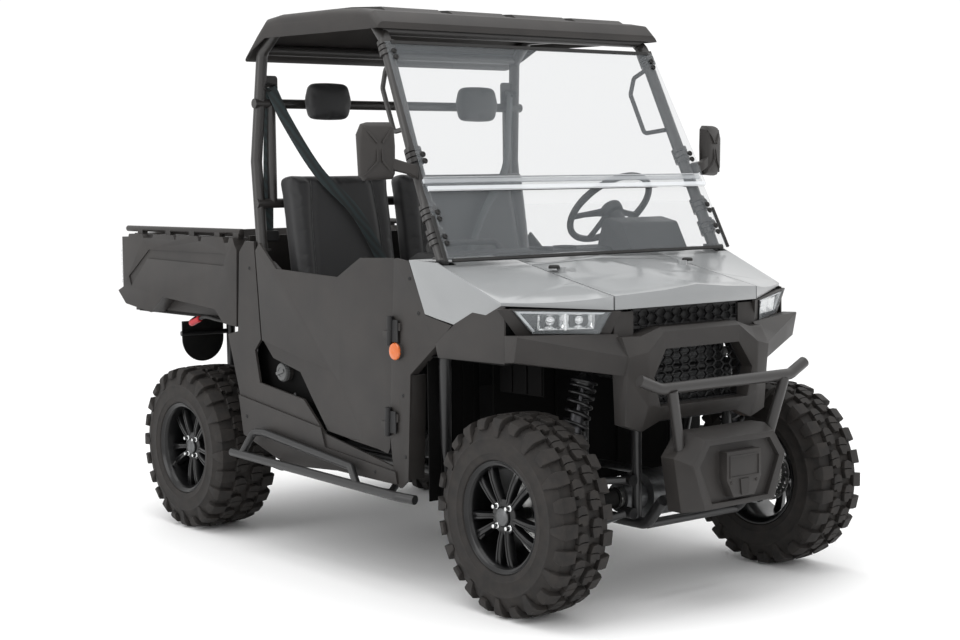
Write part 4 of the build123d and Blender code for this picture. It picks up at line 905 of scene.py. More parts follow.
@dataclass
class Wheel:
    """One tyre on its alloy, drawn about its own middle with the outboard side towards +Y.

    Attributes:
        place: End and side of the vehicle, as in front_left.
        centre: Middle of the wheel, in millimetres.
        width: Width of the tyre.
        face_depth: Distance from the rim's edge in to the spokes' face.
        radius: Radius of the tread.
        pitches: Number of tread pitches.
    """

    place: str
    centre: Point
    width: float
    face_depth: float
    radius: float = 343.0
    pitches: int = 24
    rim_radius: float = 178.0

    @property
    def side(self) -> int:
        """1 on the vehicle's left, -1 on its right."""
        return 1 if self.centre[1] > 0 else -1

    @property
    def tread(self) -> float:
        """Half the width of the tread."""
        return self.width / 2 - 14

    @property
    def rim_half(self) -> float:
        """Half the width of the rim."""
        return self.width / 2 - 10

    def hub(self) -> Matrix:
        """Frame at the wheel's middle whose Z runs outboard along the axle."""
        return axes((self.centre[0], abs(self.centre[1]), self.centre[2]), (1, 0, 0), (0, 1, 0))

    def blank(self, what: str) -> Blank:
        """Starts a piece of this wheel."""
        return Blank(f"{what}_{self.place}", self.side)

    def crown(self, across: float) -> float:
        """Radius of the tread at a distance across from its middle."""
        return self.radius - 5.5 * (abs(across) / self.tread) ** 2.4

    def on_tread(self, pitch_angle: float, along: float, across: float, radius: float) -> Vector:
        """Places a point by its distance round the tread and across it."""
        angle = pitch_angle + along / self.radius
        return Vector((radius * math.cos(angle), radius * math.sin(angle), across))

    def shoulder_lug(self, tyre: Blank, pitch_angle: float, side: int, long: bool) -> None:
        """Adds a lug that wraps from the tread down the sidewall.

        Args:
            tyre: The tyre being made.
            pitch_angle: Where it stands round the tyre.
            side: 1 outboard, -1 inboard.
            long: Whether it runs far down the sidewall.
        """
        half, tread = self.width / 2, self.tread
        # distance across and radius of the top, then of the root, and half the length round the tyre
        stations = [
            (tread * 0.56, self.crown(tread * 0.56), tread * 0.56, 323, 22),
            (tread * 0.82, self.crown(tread * 0.82) - 0.5, tread * 0.82, 319, 25),
            (tread + 3, 334, tread - 6, 314, 26),
            (half - 1.5, 320, half - 14, 306, 23),
            (half + 1, 300, half - 8, 296, 18),
        ]
        if long:
            stations.append((half + 1.5, 272, half - 5, 272, 11))
        rings = []
        for across, top, root_across, root, reach in stations:
            shift = 5 * (across - tread * 0.56) / half
            out = (across - root_across, top - root)
            lean = 1.6 / max(math.hypot(*out), 1)
            low = (across - out[0] * lean, top - out[1] * lean)
            corners = (
                (-reach - 1.5, root_across, root),
                (-reach, low[0], low[1]),
                (-reach + 2, across, top),
                (reach - 2, across, top),
                (reach, low[0], low[1]),
                (reach + 1.5, root_across, root),
            )
            rings.append([self.on_tread(pitch_angle, along + shift, side * v, r) for along, v, r in corners])
        tyre.loft(rings, place=self.hub())

    def centre_block(self, tyre: Blank, pitch_angle: float, side: int) -> None:
        """Adds one zig-zag block of the middle rows, split by a sipe.

        Args:
            tyre: The tyre being made.
            pitch_angle: Where it stands round the tyre.
            side: 1 outboard, -1 inboard.
        """
        stretch = self.tread / 100
        front = ((-2, -22), (6, -23), (31, -17), (34, 4), (22, 9), (25, 23), (4, 21), (-1, 6))
        rear = ((-5, -23), (-29, -16), (-34, 3), (-26, 19), (1, 21), (-4, 7))
        middle = side * 0.3 * self.tread
        for outline in (front, rear):
            centre = [sum(axis) / len(outline) for axis in zip(*outline)]
            rings = []
            # share of the outline's size and depth below the crown
            for share, drop in ((1.06, 20), (1.0, 1.6), (0.92, 0)):
                ring = []
                for along, across in outline:
                    u = centre[0] + (along - centre[0]) * share
                    v = middle + side * stretch * (centre[1] + (across - centre[1]) * share)
                    ring.append(self.on_tread(pitch_angle, u, v, self.crown(v) - drop))
                rings.append(ring)
            tyre.loft(rings, place=self.hub())

    def tyre(self) -> None:
        """Builds the tyre: a carcass with ribs on its sidewalls, shoulder lugs and blocks."""
        half, tread, bead = self.width / 2, self.tread, self.width / 2 - 17
        side_profile = (
            (187, bead - 2),
            (190, bead + 2),
            (195, half - 7),
            (206, half - 3.5),
            (214, half - 2.5),
            (217, half - 0.5),
            (221, half - 0.5),
            (224, half - 2),
            (246, half),
            (262, half - 1.5),
            (265, half),
            (269, half - 0.5),
            (272, half - 3),
            (290, half - 8),
            (304, half - 15),
            (316, tread - 6),
            (322.5, tread - 24),
            (325, tread * 0.45),
        )
        profile = [
            *side_profile, (325.5, 0), *((r, -v) for r, v in reversed(side_profile)), (182, -bead + 14),
            (182, bead - 14),
        ]
        tyre = self.blank("tyre_tread")
        tyre.lathe(profile, self.hub(), 96, looped=True)
        for pitch in range(self.pitches):
            for side in (1, -1):
                angle = 2 * math.pi * (pitch + (0 if side > 0 else 0.5)) / self.pitches
                self.shoulder_lug(tyre, angle, side, pitch % 2 == 0)
                self.centre_block(tyre, angle + math.pi / self.pitches, side)
        tyre.done(f"wheel_{self.place}", TREAD_RUBBER, replaces=(f"tyre_{self.place}",), smooth=32)

    def barrel(self) -> None:
        """Builds the rim's barrel with its rolled lips."""
        half = self.rim_half
        profile = (
            (190, -half),
            (190.5, -half + 4),
            (183, -half + 7),
            (178.5, -half + 12),
            (172, -half + 40),
            (172, half - 34),
            (178.5, half - 12),
            (184, half - 8),
            (191, half - 5),
            (191.5, half - 1),
            (189, half + 0.5),
            (186, half - 1.5),
            (181, half - 7),
            (175, half - 9),
            (172, half - 14),
            (167, half - 22),
            (166, -half + 20),
            (176, -half + 4),
            (186, -half),
        )
        self.blank("rim_barrel").lathe(profile, self.hub(), 96, looped=True).done(
            f"wheel_{self.place}", WHEEL_ENAMEL, smooth=40, replaces=(f"rim_{self.place}",)
        )

    def spokes(self) -> None:
        """Builds the five twin spokes, each leg with a groove down its face, and the hub boss."""
        face = self.rim_half - self.face_depth
        blank = self.blank("rim_spokes")
        # radius, distance of the leg's middle from the spoke's middle, half width, height of its face
        stations = (
            (34, 8, 8, face - 7), (52, 13, 9.5, face - 3), (84, 19, 10, face + 1),
            (128, 26.5, 11.5, face + 1), (160, 32, 14, face - 3), (170, 34, 17, face - 9),
        )
        for spoke in range(5):
            turn = self.hub() @ Matrix.Rotation(math.radians(90 + 72 * spoke), 4, "Z")
            for leg in (1, -1):
                rings = []
                for radius, offset, reach, height in stations:
                    deep = 26 if radius > 60 else 20
                    section = (
                        (-reach - 4, -deep),
                        (-reach, -2.5),
                        (-reach + 2, 0),
                        (-3.6, 0),
                        (-2.2, -3.2),
                        (2.2, -3.2),
                        (3.6, 0),
                        (reach - 2, 0),
                        (reach, -2.5),
                        (reach + 4, -deep),
                    )
                    rings.append([(radius, leg * offset + x, height + z) for x, z in section])
                blank.loft(rings, place=turn)
        boss = (
            (20, face - 50), (60, face - 50), (62, face - 12), (59, face - 6), (36, face - 4),
            (33, face - 7), (20, face - 7),
        )
        blank.lathe(boss, self.hub(), 40, looped=True)
        blank.done(f"wheel_{self.place}", WHEEL_ENAMEL, edge_mm=0.8, smooth=30)

    def fittings(self) -> None:
        """Builds the hub cap, wheel nuts, valve and drilled brake disc."""
        body, face = f"wheel_{self.place}", self.rim_half - self.face_depth
        cap = self.blank("hub_cap")
        cap.lathe(
            (
                (31, face - 12), (31, face + 2), (29.5, face + 5), (22, face + 8.5), (14, face + 9.6),
                (13, face + 8.8), (4, face + 9.4),
            ),
            self.hub(), 40,
        )
        cap.done(body, CAST_ALUMINIUM, smooth=25)
        nuts = self.blank("wheel_nuts")
        for nut in range(4):
            angle = math.radians(45 + 90 * nut)
            at = self.hub() @ Matrix.Translation((47 * math.cos(angle), 47 * math.sin(angle), 0))
            nuts.lathe(((11, face - 8), (11, face - 2), (9.5, face)), at, 20)
            nuts.lathe(((8.2, face - 1), (8.2, face + 13), (7.2, face + 16), (3, face + 18)), at, 6)
        nuts.done(body, CHROME, edge_mm=0.4, smooth=30)
        valve = self.blank("valve_stem")
        stem = self.hub() @ axes((-128, 92, self.rim_half - 24), (0, 0, 1), (0.25, -0.2, 1))
        valve.lathe(((5.5, 0), (4.5, 14), (3.6, 16), (3.6, 28), (2.5, 30)), stem, 14).done(body, SOFT_RUBBER)
        self.disc(body)

    def disc(self, body: str) -> None:
        """Builds the brake disc, with rings of drilled holes.

        Args:
            body: Body that it rides on.
        """
        blank = self.blank("brake_disc")
        cells, top, low = 30, -30.0, -36.0
        for inner, outer, hole in ((62, 84, 4.2), (84, 107, 4.6)):
            for cell in range(cells):
                middle = 2 * math.pi * (cell + (0.5 if inner > 70 else 0)) / cells
                half = math.pi / cells
                edge = [
                    (r, middle + half * k)
                    for r, k in (
                        (inner, -1), (inner, 0), (inner, 1), ((inner + outer) / 2, 1), (outer, 1),
                        (outer, 0), (outer, -1), ((inner + outer) / 2, -1),
                    )
                ]
                rim = [(r * math.cos(a), r * math.sin(a)) for r, a in edge]
                centre = ((inner + outer) / 2 * math.cos(middle), (inner + outer) / 2 * math.sin(middle))
                hole_ring = []
                for x, y in rim:
                    away = math.atan2(y - centre[1], x - centre[0])
                    hole_ring.append((centre[0] + hole * math.cos(away), centre[1] + hole * math.sin(away)))
                rings = [
                    [(x, y, z) for x, y in ring]
                    for ring, z in ((rim, low), (rim, top), (hole_ring, top), (hole_ring, low))
                ]
                blank.loft(rings, looped=True, place=self.hub())
        blank.lathe(((30, -48), (66, -44), (66, -29), (58, -26), (30, -24)), self.hub(), 40)
        blank.done(body, GROUND_STEEL, smooth=25)

    def build(self) -> None:
        """Builds the whole wheel."""
        self.tyre()
        self.barrel()
        self.spokes()
        self.fittings()


WHEELS = (
    Wheel("front_left", (1145, 625, 343), 228, 16),
    Wheel("front_right", (1145, -625, 343), 228, 16),
    Wheel("rear_left", (-935, 630, 343), 276, 42),
    Wheel("rear_right", (-935, -630, 343), 276, 42),
)

# ---- Suspension and driveline --------------------------------------------------------


@dataclass
class Suspension:
    """Coil-over shocks, boots and arm guards, on both sides.

    Attributes:
        shocks: Name, lower eye and upper eye of each.
        coil_radius: Radius of the spring at its wire's middle.
        wire: Radius of the wire.
        boots: Axle's X, and Y of the outer joint, of each drive shaft.
        axle_z: Height of the axles.
    """

    shocks: Sequence[tuple[str, Point, Point]] = (
        ("front", (1145, 428, 456), (1145, 330, 812)),
        ("rear", (-935, 428, 456), (-935, 356, 806)),
    )
    coil_radius: float = 41.5
    wire: float = 6.4
    boots: Sequence[tuple[str, float, float, float]] = (("front", 1145, 492, 29), ("rear", -935, 526, 36))
    axle_z: float = 343.0

    def shock(self, name: str, foot: Point, head: Point, side: int) -> None:
        """Builds one coil-over: damper, perch, spring and eyes.

        Args:
            name: Which shock.
            foot: Middle of its lower eye.
            head: Middle of its upper eye.
            side: 1 left, -1 right.
        """
        place = axes(foot, (1, 0, 0), Vector(head) - Vector(foot))
        reach = (Vector(head) - Vector(foot)).length
        end = "left" if side > 0 else "right"
        low, high = 80.0, reach - 58
        damper = Blank(f"damper_{name}_{end}", side)
        damper.lathe(
            (
                (14, 8), (20, 22), (25, 34), (25, 62), (27, 64), (27, 70), (25.5, 72), (25.5, high - 96),
                (23, high - 92), (9, high - 90), (9, high - 4),
            ),
            place, 32,
        )
        for middle in (0.0, reach):
            eye = place @ axes((-21, 0, middle), (0, 1, 0), (1, 0, 0))
            damper.lathe(((19, 4), (19, 38), (17, 40), (9, 40), (9, 2), (17, 2)), eye, 28, looped=True)
        damper.done("chassis", DAMPER_METAL, smooth=30, replaces=("shocks",))
        perch = Blank(f"spring_perch_{name}_{end}", side)
        perch.lathe(
            (
                (26, low - 22), (33, low - 22), (33, low - 14), (47, low - 12), (47.5, low - 7),
                (36, low - 5), (34, low + 10), (26, low + 12),
            ),
            place, 40, looped=True,
        )
        for notch in range(12):
            turn = place @ Matrix.Rotation(2 * math.pi * notch / 12, 4, "Z")
            perch.loft(
                [
                    [(x, y, z) for x, y in ((31, -4), (37, -4), (37, 4), (31, 4))]
                    for z in (low - 22, low - 15)
                ],
                place=turn,
            )
        perch.done("chassis", COPPER, smooth=30)
        spring = Blank(f"coil_spring_{name}_{end}", side)
        spring.tube(helix(self.coil_radius, low, high, 7.5), self.wire, 10, place=place)
        spring.done("chassis", BLACK_COAT, smooth=60)
        cap = Blank(f"spring_cap_{name}_{end}", side)
        cap.lathe(
            (
                (10, high - 6), (35, high - 8), (36, high + 5), (48, high + 6), (48, high + 12),
                (30, high + 20), (14, reach - 22), (10, reach - 16),
            ),
            place, 40,
        )
        cap.done("chassis", BLACK_COAT, smooth=30)

    def boot(self, name: str, axle_x: float, outer_y: float, radius: float, side: int) -> None:
        """Builds one drive shaft with a bellows at each end.

        Args:
            name: Which shaft.
            axle_x: X of the axle.
            outer_y: Y of the outer joint.
            radius: Radius of the outer joint.
            side: 1 left, -1 right.
        """
        end = "left" if side > 0 else "right"
        place = axes((axle_x, 0, self.axle_z), (1, 0, 0), (0, 1, 0))
        shaft = Blank(f"drive_shaft_{name}_{end}", side)
        shaft.lathe(((38, 180), (38, 200), (12, 202), (12, outer_y - 8), (11, outer_y + 6)), place, 32)
        shaft.done("chassis", GROUND_STEEL, smooth=30, replaces=("drive_shafts",))
        bellows = Blank(f"shaft_boots_{name}_{end}", side)
        for start, stop, wide, narrow in ((202, 278, 37, 16), (outer_y - 2, outer_y - 82, radius, 16)):
            profile = [(wide + 1, start), (wide + 1, start + (stop - start) * 0.1)]
            for fold in range(6):
                share = 0.16 + 0.72 * fold / 5
                size = wide + (narrow - wide) * share
                profile += [
                    (size - 4, start + (stop - start) * (share - 0.06)),
                    (size + 1, start + (stop - start) * share),
                ]
            profile += [(narrow, start + (stop - start) * 0.93), (narrow, stop), (12, stop)]
            bellows.lathe(profile, place, 32)
        bellows.done("chassis", SOFT_RUBBER, smooth=40)

    def arm_guard(self, name: str, axle_x: float, side: int) -> None:
        """Builds the moulded guard under one lower arm.

        Args:
            name: Which arm.
            axle_x: X of the axle.
            side: 1 left, -1 right.
        """
        guard = Blank(f"arm_guard_{name}_{'left' if side > 0 else 'right'}", side)
        # distance out, half length, height of the plate, height of its upturned edge
        stations = ((292, 116, 290, 316), (360, 94, 273, 300), (430, 70, 256, 284), (492, 46, 241, 268))
        outer = [
            (
                (axle_x - half, y, lip), (axle_x - half + 8, y, z), (axle_x + half - 8, y, z),
                (axle_x + half, y, lip),
            )
            for y, half, z, lip in stations
        ]
        inner = [[(x, y, z + 4.5) for x, y, z in ring[::-1]] for ring in outer]
        guard.loft([[*low, *high] for low, high in zip(outer, inner)])
        guard.done("chassis", GUARD_PLASTIC, edge_mm=2.5)

    def build(self) -> None:
        """Builds both sides of each axle."""
        for side in (1, -1):
            for name, foot, head in self.shocks:
                self.shock(name, foot, head, side)
            for name, axle_x, outer_y, radius in self.boots:
                self.boot(name, axle_x, outer_y, radius, side)
                self.arm_guard(name, axle_x, side)


# ---- Seats ---------------------------------------------------------------------------


@dataclass
class Cushion:
    """One padded form: a block that is puffed up as cloth, then sewn.

    Attributes:
        name: Name of the piece.
        place: Frame at its middle; Z leaves its seating face.
        size: Its size along the frame's axes, in millimetres.
        node: CAD node that it stands for.
        swell: How far the cover may puff out, in millimetres.
        channels: Sewn lines on its seating face, each as X and Y along the frame.
    """

    name: str
    place: Matrix
    size: Point
    node: str
    swell: float = 14.0
    channels: Sequence[Sequence[tuple[float, float]]] = ()
    outline: Optional[Sequence[tuple[float, float]]] = None

    def core(self) -> bpy.types.Object:
        """Builds the foam core, a little inside its final size.

        Returns:
            The core, in metres.
        """
        inset = self.swell * 0.62
        half = [edge / 2 - inset for edge in self.size]
        corners = self.outline or (
            (-half[0], -half[1]), (half[0], -half[1]), (half[0], half[1]), (-half[0], half[1]),
        )
        blank = Blank(self.name)
        blank.slab(corners, self.place @ Matrix.Translation((0, 0, -half[2])), 2 * half[2])
        blank.shape.transform(Matrix.Scale(MM, 4))
        bmesh.ops.recalc_face_normals(blank.shape, faces=blank.shape.faces)
        round_by = min(half[2] * 0.75, 26) * MM
        bmesh.ops.bevel(
            blank.shape, geom=blank.shape.edges, offset=round_by, segments=4, profile=0.5, affect="EDGES",
        )
        mesh = bpy.data.meshes.new(self.name)
        blank.shape.to_mesh(mesh)
        blank.shape.free()
        core = bpy.data.objects.new(self.name, mesh)
        bpy.context.scene.collection.objects.link(core)
        return core

    def puffed(self, core: bpy.types.Object) -> None:
        """Inflates the cover over the core, held down along its channels.

        Args:
            core: The core; its mesh is changed.
        """
        remesh = core.modifiers.new("weave", "REMESH")
        remesh.mode = "VOXEL"
        remesh.voxel_size = 0.0075
        self.bake(core)
        rest = [v.co.copy() for v in core.data.vertices]
        cloth = core.modifiers.new("cover", "CLOTH")
        cloth.settings.use_pressure = True
        cloth.settings.uniform_pressure_force = 4.0
        cloth.settings.effector_weights.gravity = 0.0
        cloth.settings.quality = 3
        cloth.collision_settings.use_self_collision = False
        cloth.point_cache.frame_end = 20
        for frame_number in range(1, 21):
            bpy.context.scene.frame_set(frame_number)
        self.bake(core)
        bpy.context.scene.frame_set(1)
        back = self.place.inverted()
        most = self.swell * MM
        for vertex, start in zip(core.data.vertices, rest):
            move = vertex.co - start
            if move.length > most:
                move *= most / move.length
            local = back @ (start * 1000)
            if local.z > 0:
                move += self.pull(local) * (self.place.to_3x3() @ Vector((0, 0, 1))) * MM
            vertex.co = start + move
        smoother = core.modifiers.new("soften", "SMOOTH")
        smoother.iterations = 2
        core.modifiers.new("fine", "SUBSURF").levels = 1
        self.bake(core)

    def pull(self, local: Vector) -> float:
        """Depth that the sewing draws the cover in at a point, in millimetres."""
        depth = 0.0
        for channel in self.channels:
            for a, b in zip(channel, channel[1:]):
                run = Vector((b[0] - a[0], b[1] - a[1]))
                share = max(
                    0.0, min(1.0, ((local.x - a[0]) * run.x + (local.y - a[1]) * run.y) / run.length_squared),
                )
                away = math.hypot(local.x - a[0] - run.x * share, local.y - a[1] - run.y * share)
                depth = max(depth, math.exp(-((away / 13.0) ** 2)))
        return -9.0 * depth

    def bake(self, core: bpy.types.Object) -> None:
        """Turns the modifiers' result into the object's own mesh."""
        view = bpy.context.evaluated_depsgraph_get()
        mesh = bpy.data.meshes.new_from_object(core.evaluated_get(view))
        core.modifiers.clear()
        core.data = mesh

    def sewn(self, cover: bpy.types.Object, start: int = 0) -> None:
        """Lays a line of thread along each channel, on the finished cover.

        Args:
            cover: The finished cover.
            start: Number of the first thread.
        """
        bpy.context.view_layer.update()
        ray = (self.place.to_3x3() @ Vector((0, 0, -1))).normalized()
        for number, channel in enumerate(self.channels, start):
            line = []
            for a, b in zip(channel, channel[1:]):
                steps = max(2, int(math.dist(a, b) / 12))
                line += [
                    (a[0] + (b[0] - a[0]) * s / steps, a[1] + (b[1] - a[1]) * s / steps)
                    for s in range(steps)
                ]
            path = []
            for x, y in [*line, channel[-1]]:
                origin = (self.place @ Vector((x, y, self.size[2]))) * MM
                hit, at, _, _ = cover.ray_cast(origin, ray, distance=0.3)
                if hit:
                    path.append(at * 1000 - ray * 0.4)
            if len(path) > 2:
                Blank(f"{self.name}_seam_{number}").tube(path, 1.7, 6).done("chassis", THREAD, smooth=60)

    def build(self) -> bpy.types.Object:
        """Builds the padded form with its seams.

        Returns:
            The cover.
        """
        core = self.core()
        self.puffed(core)
        bpy.context.scene.collection.objects.unlink(core)
        cover = fitted(core, "chassis", SEAT_VINYL, smooth=70, replaces=(self.node,))
        self.sewn(cover)
        return cover


def seats() -> list[Cushion]:
    """Lists the cushions, backs and headrests.

    Returns:
        The padded forms, ready to build.
    """
    lean = math.radians(9)
    made = []
    for name, middle, width in (("right", -365, 522), ("left", 273, 712)):
        half = width / 2
        bolster = half - 74
        cushion_seam = [(x, bolster - 26 * (0.5 - x / 450) ** 2) for x in (-200, -120, -40, 40, 110, 150)]
        front = [(150, y * bolster / 5) for y in range(5, -6, -1)]
        made.append(
            Cushion(
                f"seat_cushion_{name}",
                Matrix.Translation((-62, middle, 856)),
                (448, width, 108),
                "seat_cushions",
                channels=(cushion_seam, [(x, -y) for x, y in cushion_seam], front),
            )
        )
        # the back's frame: X up its face, Y across, Z forwards
        up = (-math.sin(lean), 0, math.cos(lean))
        ahead = (math.cos(lean), 0, math.sin(lean))
        inner = half - 92
        made.append(
            Cushion(
                f"seat_back_{name}",
                axes((-290, middle, 1214), up, ahead),
                (588, width, 104),
                "seat_backs",
                channels=(
                    [(-190, inner), (60, inner - 6), (250, inner - 22)],
                    [(-190, -inner), (60, -inner + 6), (250, -inner + 22)],
                    [(-190, y * inner / 4) for y in range(4, -5, -1)],
                ),
            )
        )
    for name, side in (("right", -1), ("left", 1)):
        rim = ((0, 110), (76, 90), (76, -90), (0, -110), (-76, -90), (-76, 90))
        made.append(
            Cushion(
                f"headrest_{name}",
                axes((-336, side * 385, 1784), (0, 0, 1), (1, 0, 0)),
                (160, 228, 68),
                "headrests",
                swell=6.0,
                outline=tuple((x * 0.95, y * 0.97) for x, y in rim),
            )
        )
    return made


# ---- Belts ---------------------------------------------------------------------------


@dataclass
class SeatBelts:
    """Three-point belts: reel, strap, tongue and buckle at each seat.

    Attributes:
        anchor_y: Distance of the upper anchors from the middle.
        strap: Width of the webbing.
    """

    anchor_y: float = 620.0
    strap: float = 46.0

    def strap_between(self, name: str, path: Sequence[Point], side: int, upright: Point) -> None:
        """Builds one run of webbing with a slightly rounded edge."""
        half = self.strap / 2
        section = (
            (-half, -0.8), (-half + 1, -1.3), (half - 1, -1.3), (half, -0.8), (half, 0.8), (half - 1, 1.3),
            (-half + 1, 1.3), (-half, 0.8),
        )
        blank = Blank(name, side)
        blank.sweep(curve_through(path, 6), section, upright=upright)
        blank.done("chassis", BELT_WEBBING, replaces=("seat_belts",))

    def build(self) -> None:
        """Builds both belts."""
        for side in (1, -1):
            end = "left" if side > 0 else "right"
            outer = self.anchor_y
            shoulder = (
                (-392, outer, 1838), (-350, outer - 48, 1700), (-268, outer - 138, 1500), (-222, 330, 1330),
                (-196, 190, 1080), (-150, 92, 930),
            )
            self.strap_between(f"belt_shoulder_{end}", shoulder, side, (0.9, 0.35, 0.25))
            self.strap_between(
                f"belt_reel_run_{end}",
                ((-398, outer, 1838), (-412, outer + 4, 1600), (-420, outer + 8, 1260)), side, (1, 0, 0),
            )
            guide = Blank(f"belt_guide_{end}", side)
            guide.tube(
                [
                    (-392 + 4 * math.cos(a), outer + 31 * math.cos(a), 1838 + 13 * math.sin(a))
                    for a in [i * math.pi / 8 for i in range(16)]
                ],
                4.5, 10, looped=True,
            )
            guide.done("chassis", SOFT_RUBBER, smooth=50)
            buckle = Blank(f"belt_buckle_{end}", side)
            place = axes((-150, 84, 925), (0, 1, 0), (-0.35, 0.1, 0.93))
            buckle.slab(
                ((-17, -11), (17, -11), (17, 11), (-17, 11)), place @ Matrix.Translation((0, 0, -80)), 84,
            )
            buckle.slab(((-6, -2), (6, -2), (6, 2), (-6, 2)), place @ Matrix.Translation((0, 0, -150)), 74)
            buckle.done("chassis", BLACK_PLASTIC, edge_mm=3)
            tongue = Blank(f"belt_tongue_{end}", side)
            tongue.slab(((-24, -2), (24, -2), (24, 2), (-24, 2)), place @ Matrix.Translation((0, 0, 4)), 26)
            tongue.done("chassis", GROUND_STEEL, edge_mm=1)
            reel = Blank(f"belt_reel_{end}", side)
            reel.slab(
                ((-30, -34), (30, -34), (30, 34), (-30, 34)),
                axes((-420, outer + 8, 1226), (1, 0, 0), (0, 0, 1)), 44,
            )
            reel.done("chassis", BLACK_PLASTIC, edge_mm=6)


# ---- Cab -----------------------------------------------------------------------------


@dataclass
class Cab:
    """Controls and small fittings inside the cab.

    Attributes:
        hub: Middle of the steering wheel's rim.
        rake: Angle of the steering column from the floor, in degrees.
        rim_radius: Radius of the steering wheel's rim.
    """

    hub: Point = (500, 385, 1345)
    rake: float = 45.0
    rim_radius: float = 178.0

    def steering_wheel(self) -> None:
        """Builds the steering wheel: rim with thumb grips, three spokes and a padded boss."""
        rake = math.radians(self.rake)
        place = axes(self.hub, (0, -1, 0), (-math.cos(rake), 0, math.sin(rake)))
        rim = Blank("steering_rim")
        rings = []
        for step in range(72):
            angle = 2 * math.pi * step / 72
            grip = 13.4 + 1.3 * math.exp(-(((math.degrees(angle) % 180 - 20) / 14) ** 2))
            centre = Vector((self.rim_radius * math.cos(angle), self.rim_radius * math.sin(angle), 0))
            out = centre.normalized()
            rings.append(
                [
                    centre + out * grip * math.cos(a) + Vector((0, 0, grip * math.sin(a)))
                    for a in [2 * math.pi * k / 14 for k in range(14)]
                ]
            )
        rim.loft(rings, looped=True, place=place)
        rim.done("steering_wheel", SOFT_RUBBER, smooth=60, replaces=("steering_wheel",))
        spokes = Blank("steering_spokes")
        for angle in (-15, 195, 270):
            turn = place @ Matrix.Rotation(math.radians(angle), 4, "Z")
            rings = []
            for reach, wide, height in (
                (24, 26, -14), (70, 17, -8), (120, 13, -3), (self.rim_radius - 2, 15, 0),
            ):
                rings.append(
                    [
                        (reach, x, height + z)
                        for x, z in ((-wide, -6), (-wide + 3, 5), (-3, 6), (3, 6), (wide - 3, 5), (wide, -6))
                    ]
                )
            spokes.loft(rings, place=turn)
        spokes.lathe(((42, -34), (46, -20), (46, -4), (40, 4), (24, 8), (6, 9)), place, 36)
        spokes.done("steering_wheel", BLACK_PLASTIC, edge_mm=1.5)

    def dials(self) -> None:
        """Builds the instrument face, its bezel and the row of switches."""
        face = axes((597, 410, 1246), (0, -1, 0), (-0.93, 0, 0.36))
        bezel = Blank("instrument_bezel")
        outline = [
            (
                74 * math.copysign(abs(math.cos(a)) ** 0.6, math.cos(a)),
                40 * math.copysign(abs(math.sin(a)) ** 0.6, math.sin(a)),
            )
            for a in [2 * math.pi * k / 40 for k in range(40)]
        ]
        rings = [
            [(x * s, y * s, z) for x, y in outline]
            for s, z in ((1.12, 0), (1.1, 12), (1.02, 14), (1.0, 4), (1.0, 0))
        ]
        bezel.loft(rings, place=face, looped=True)
        bezel.done("chassis", BLACK_PLASTIC, smooth=50)
        glass = Blank("instrument_glass")
        glass.slab([(x, y) for x, y in outline], face, 3)
        glass.done("chassis", SCREEN_TINT, smooth=50)
        switches = Blank("dash_switches")
        for index in range(4):
            at = axes((532, 170 - 52 * index, 1120), (0, -1, 0), (-0.96, 0, -0.28))
            switches.slab(
                ((-18, -12), (18, -12), (18, 12), (-18, 12)), at @ Matrix.Translation((0, 0, -2)), 9,
            )
        switches.done("chassis", SOFT_RUBBER, edge_mm=2)

    def handles(self) -> None:
        """Builds the shift lever, the passenger's grab bar, cup holders and glovebox."""
        lever = Blank("shift_lever")
        lever.tube(curve_through(((548, 130, 1010), (500, 128, 1050), (470, 126, 1110)), 5), 7)
        knob = axes((466, 126, 1112), (0, 1, 0), (-0.25, 0, 0.97))
        lever.lathe(((9, -14), (20, -6), (25, 8), (24, 24), (16, 34), (5, 37)), knob, 28)
        lever.done("chassis", SOFT_RUBBER, smooth=50)
        bar = Blank("passenger_grab_bar")
        bar.tube(
            curve_through(
                (
                    (560, -200, 1180), (520, -210, 1222), (512, -260, 1232), (512, -480, 1232),
                    (520, -530, 1222), (560, -540, 1180),
                ),
                6,
            ),
            12, 14,
        )
        bar.done("chassis", SOFT_RUBBER, smooth=60)
        cups = Blank("cup_holders")
        for y in (-60, 60):
            cups.lathe(
                ((44, 0), (48, 3), (44, 6), (40, 4), (38, -60), (40, -62), (44, -58)),
                axes((596, y, 1203), (1, 0, 0), (0, 0, 1)), 32, looped=True,
            )
        cups.done("chassis", BLACK_PLASTIC, smooth=40)
        box = Blank("glovebox_lid")
        lid = axes((527, -380, 1090), (0, -1, 0), (-0.96, 0, -0.28))
        box.slab(((-150, -52), (150, -52), (150, 52), (-150, 52)), lid @ Matrix.Translation((0, 0, -2)), 8)
        box.slab(((-26, 30), (26, 30), (26, 44), (-26, 44)), lid @ Matrix.Translation((0, 0, 6)), 6)
        box.done("chassis", BLACK_PLASTIC, edge_mm=3)

    def pedals(self) -> None:
        """Builds the accelerator and brake pedals on their arms."""
        pedals = Blank("pedals")
        for y, wide, tall, z in ((300, 24, 62, 560), (410, 40, 34, 580)):
            pad = axes((560, y, z), (0, 1, 0), (-0.85, 0, 0.5))
            pedals.slab(((-wide, -tall), (wide, -tall), (wide, tall), (-wide, tall)), pad, 10)
            for rib in range(4):
                level = (rib - 1.5) * tall * 0.45
                pedals.slab(
                    (
                        (-wide + 4, level - 3), (wide - 4, level - 3), (wide - 4, level + 3),
                        (-wide + 4, level + 3),
                    ),
                    pad @ Matrix.Translation((0, 0, 10)), 3,
                )
            pedals.tube(((566, y, z), (620, y, z + 60), (664, y, z + 190)), 7, 10)
        pedals.done("chassis", BLACK_PLASTIC, edge_mm=1.5)

    def build(self) -> None:
        """Builds everything in the cab."""
        self.steering_wheel()
        self.dials()
        self.handles()
        self.pedals()


# ---- Windshield ----------------------------------------------------------------------


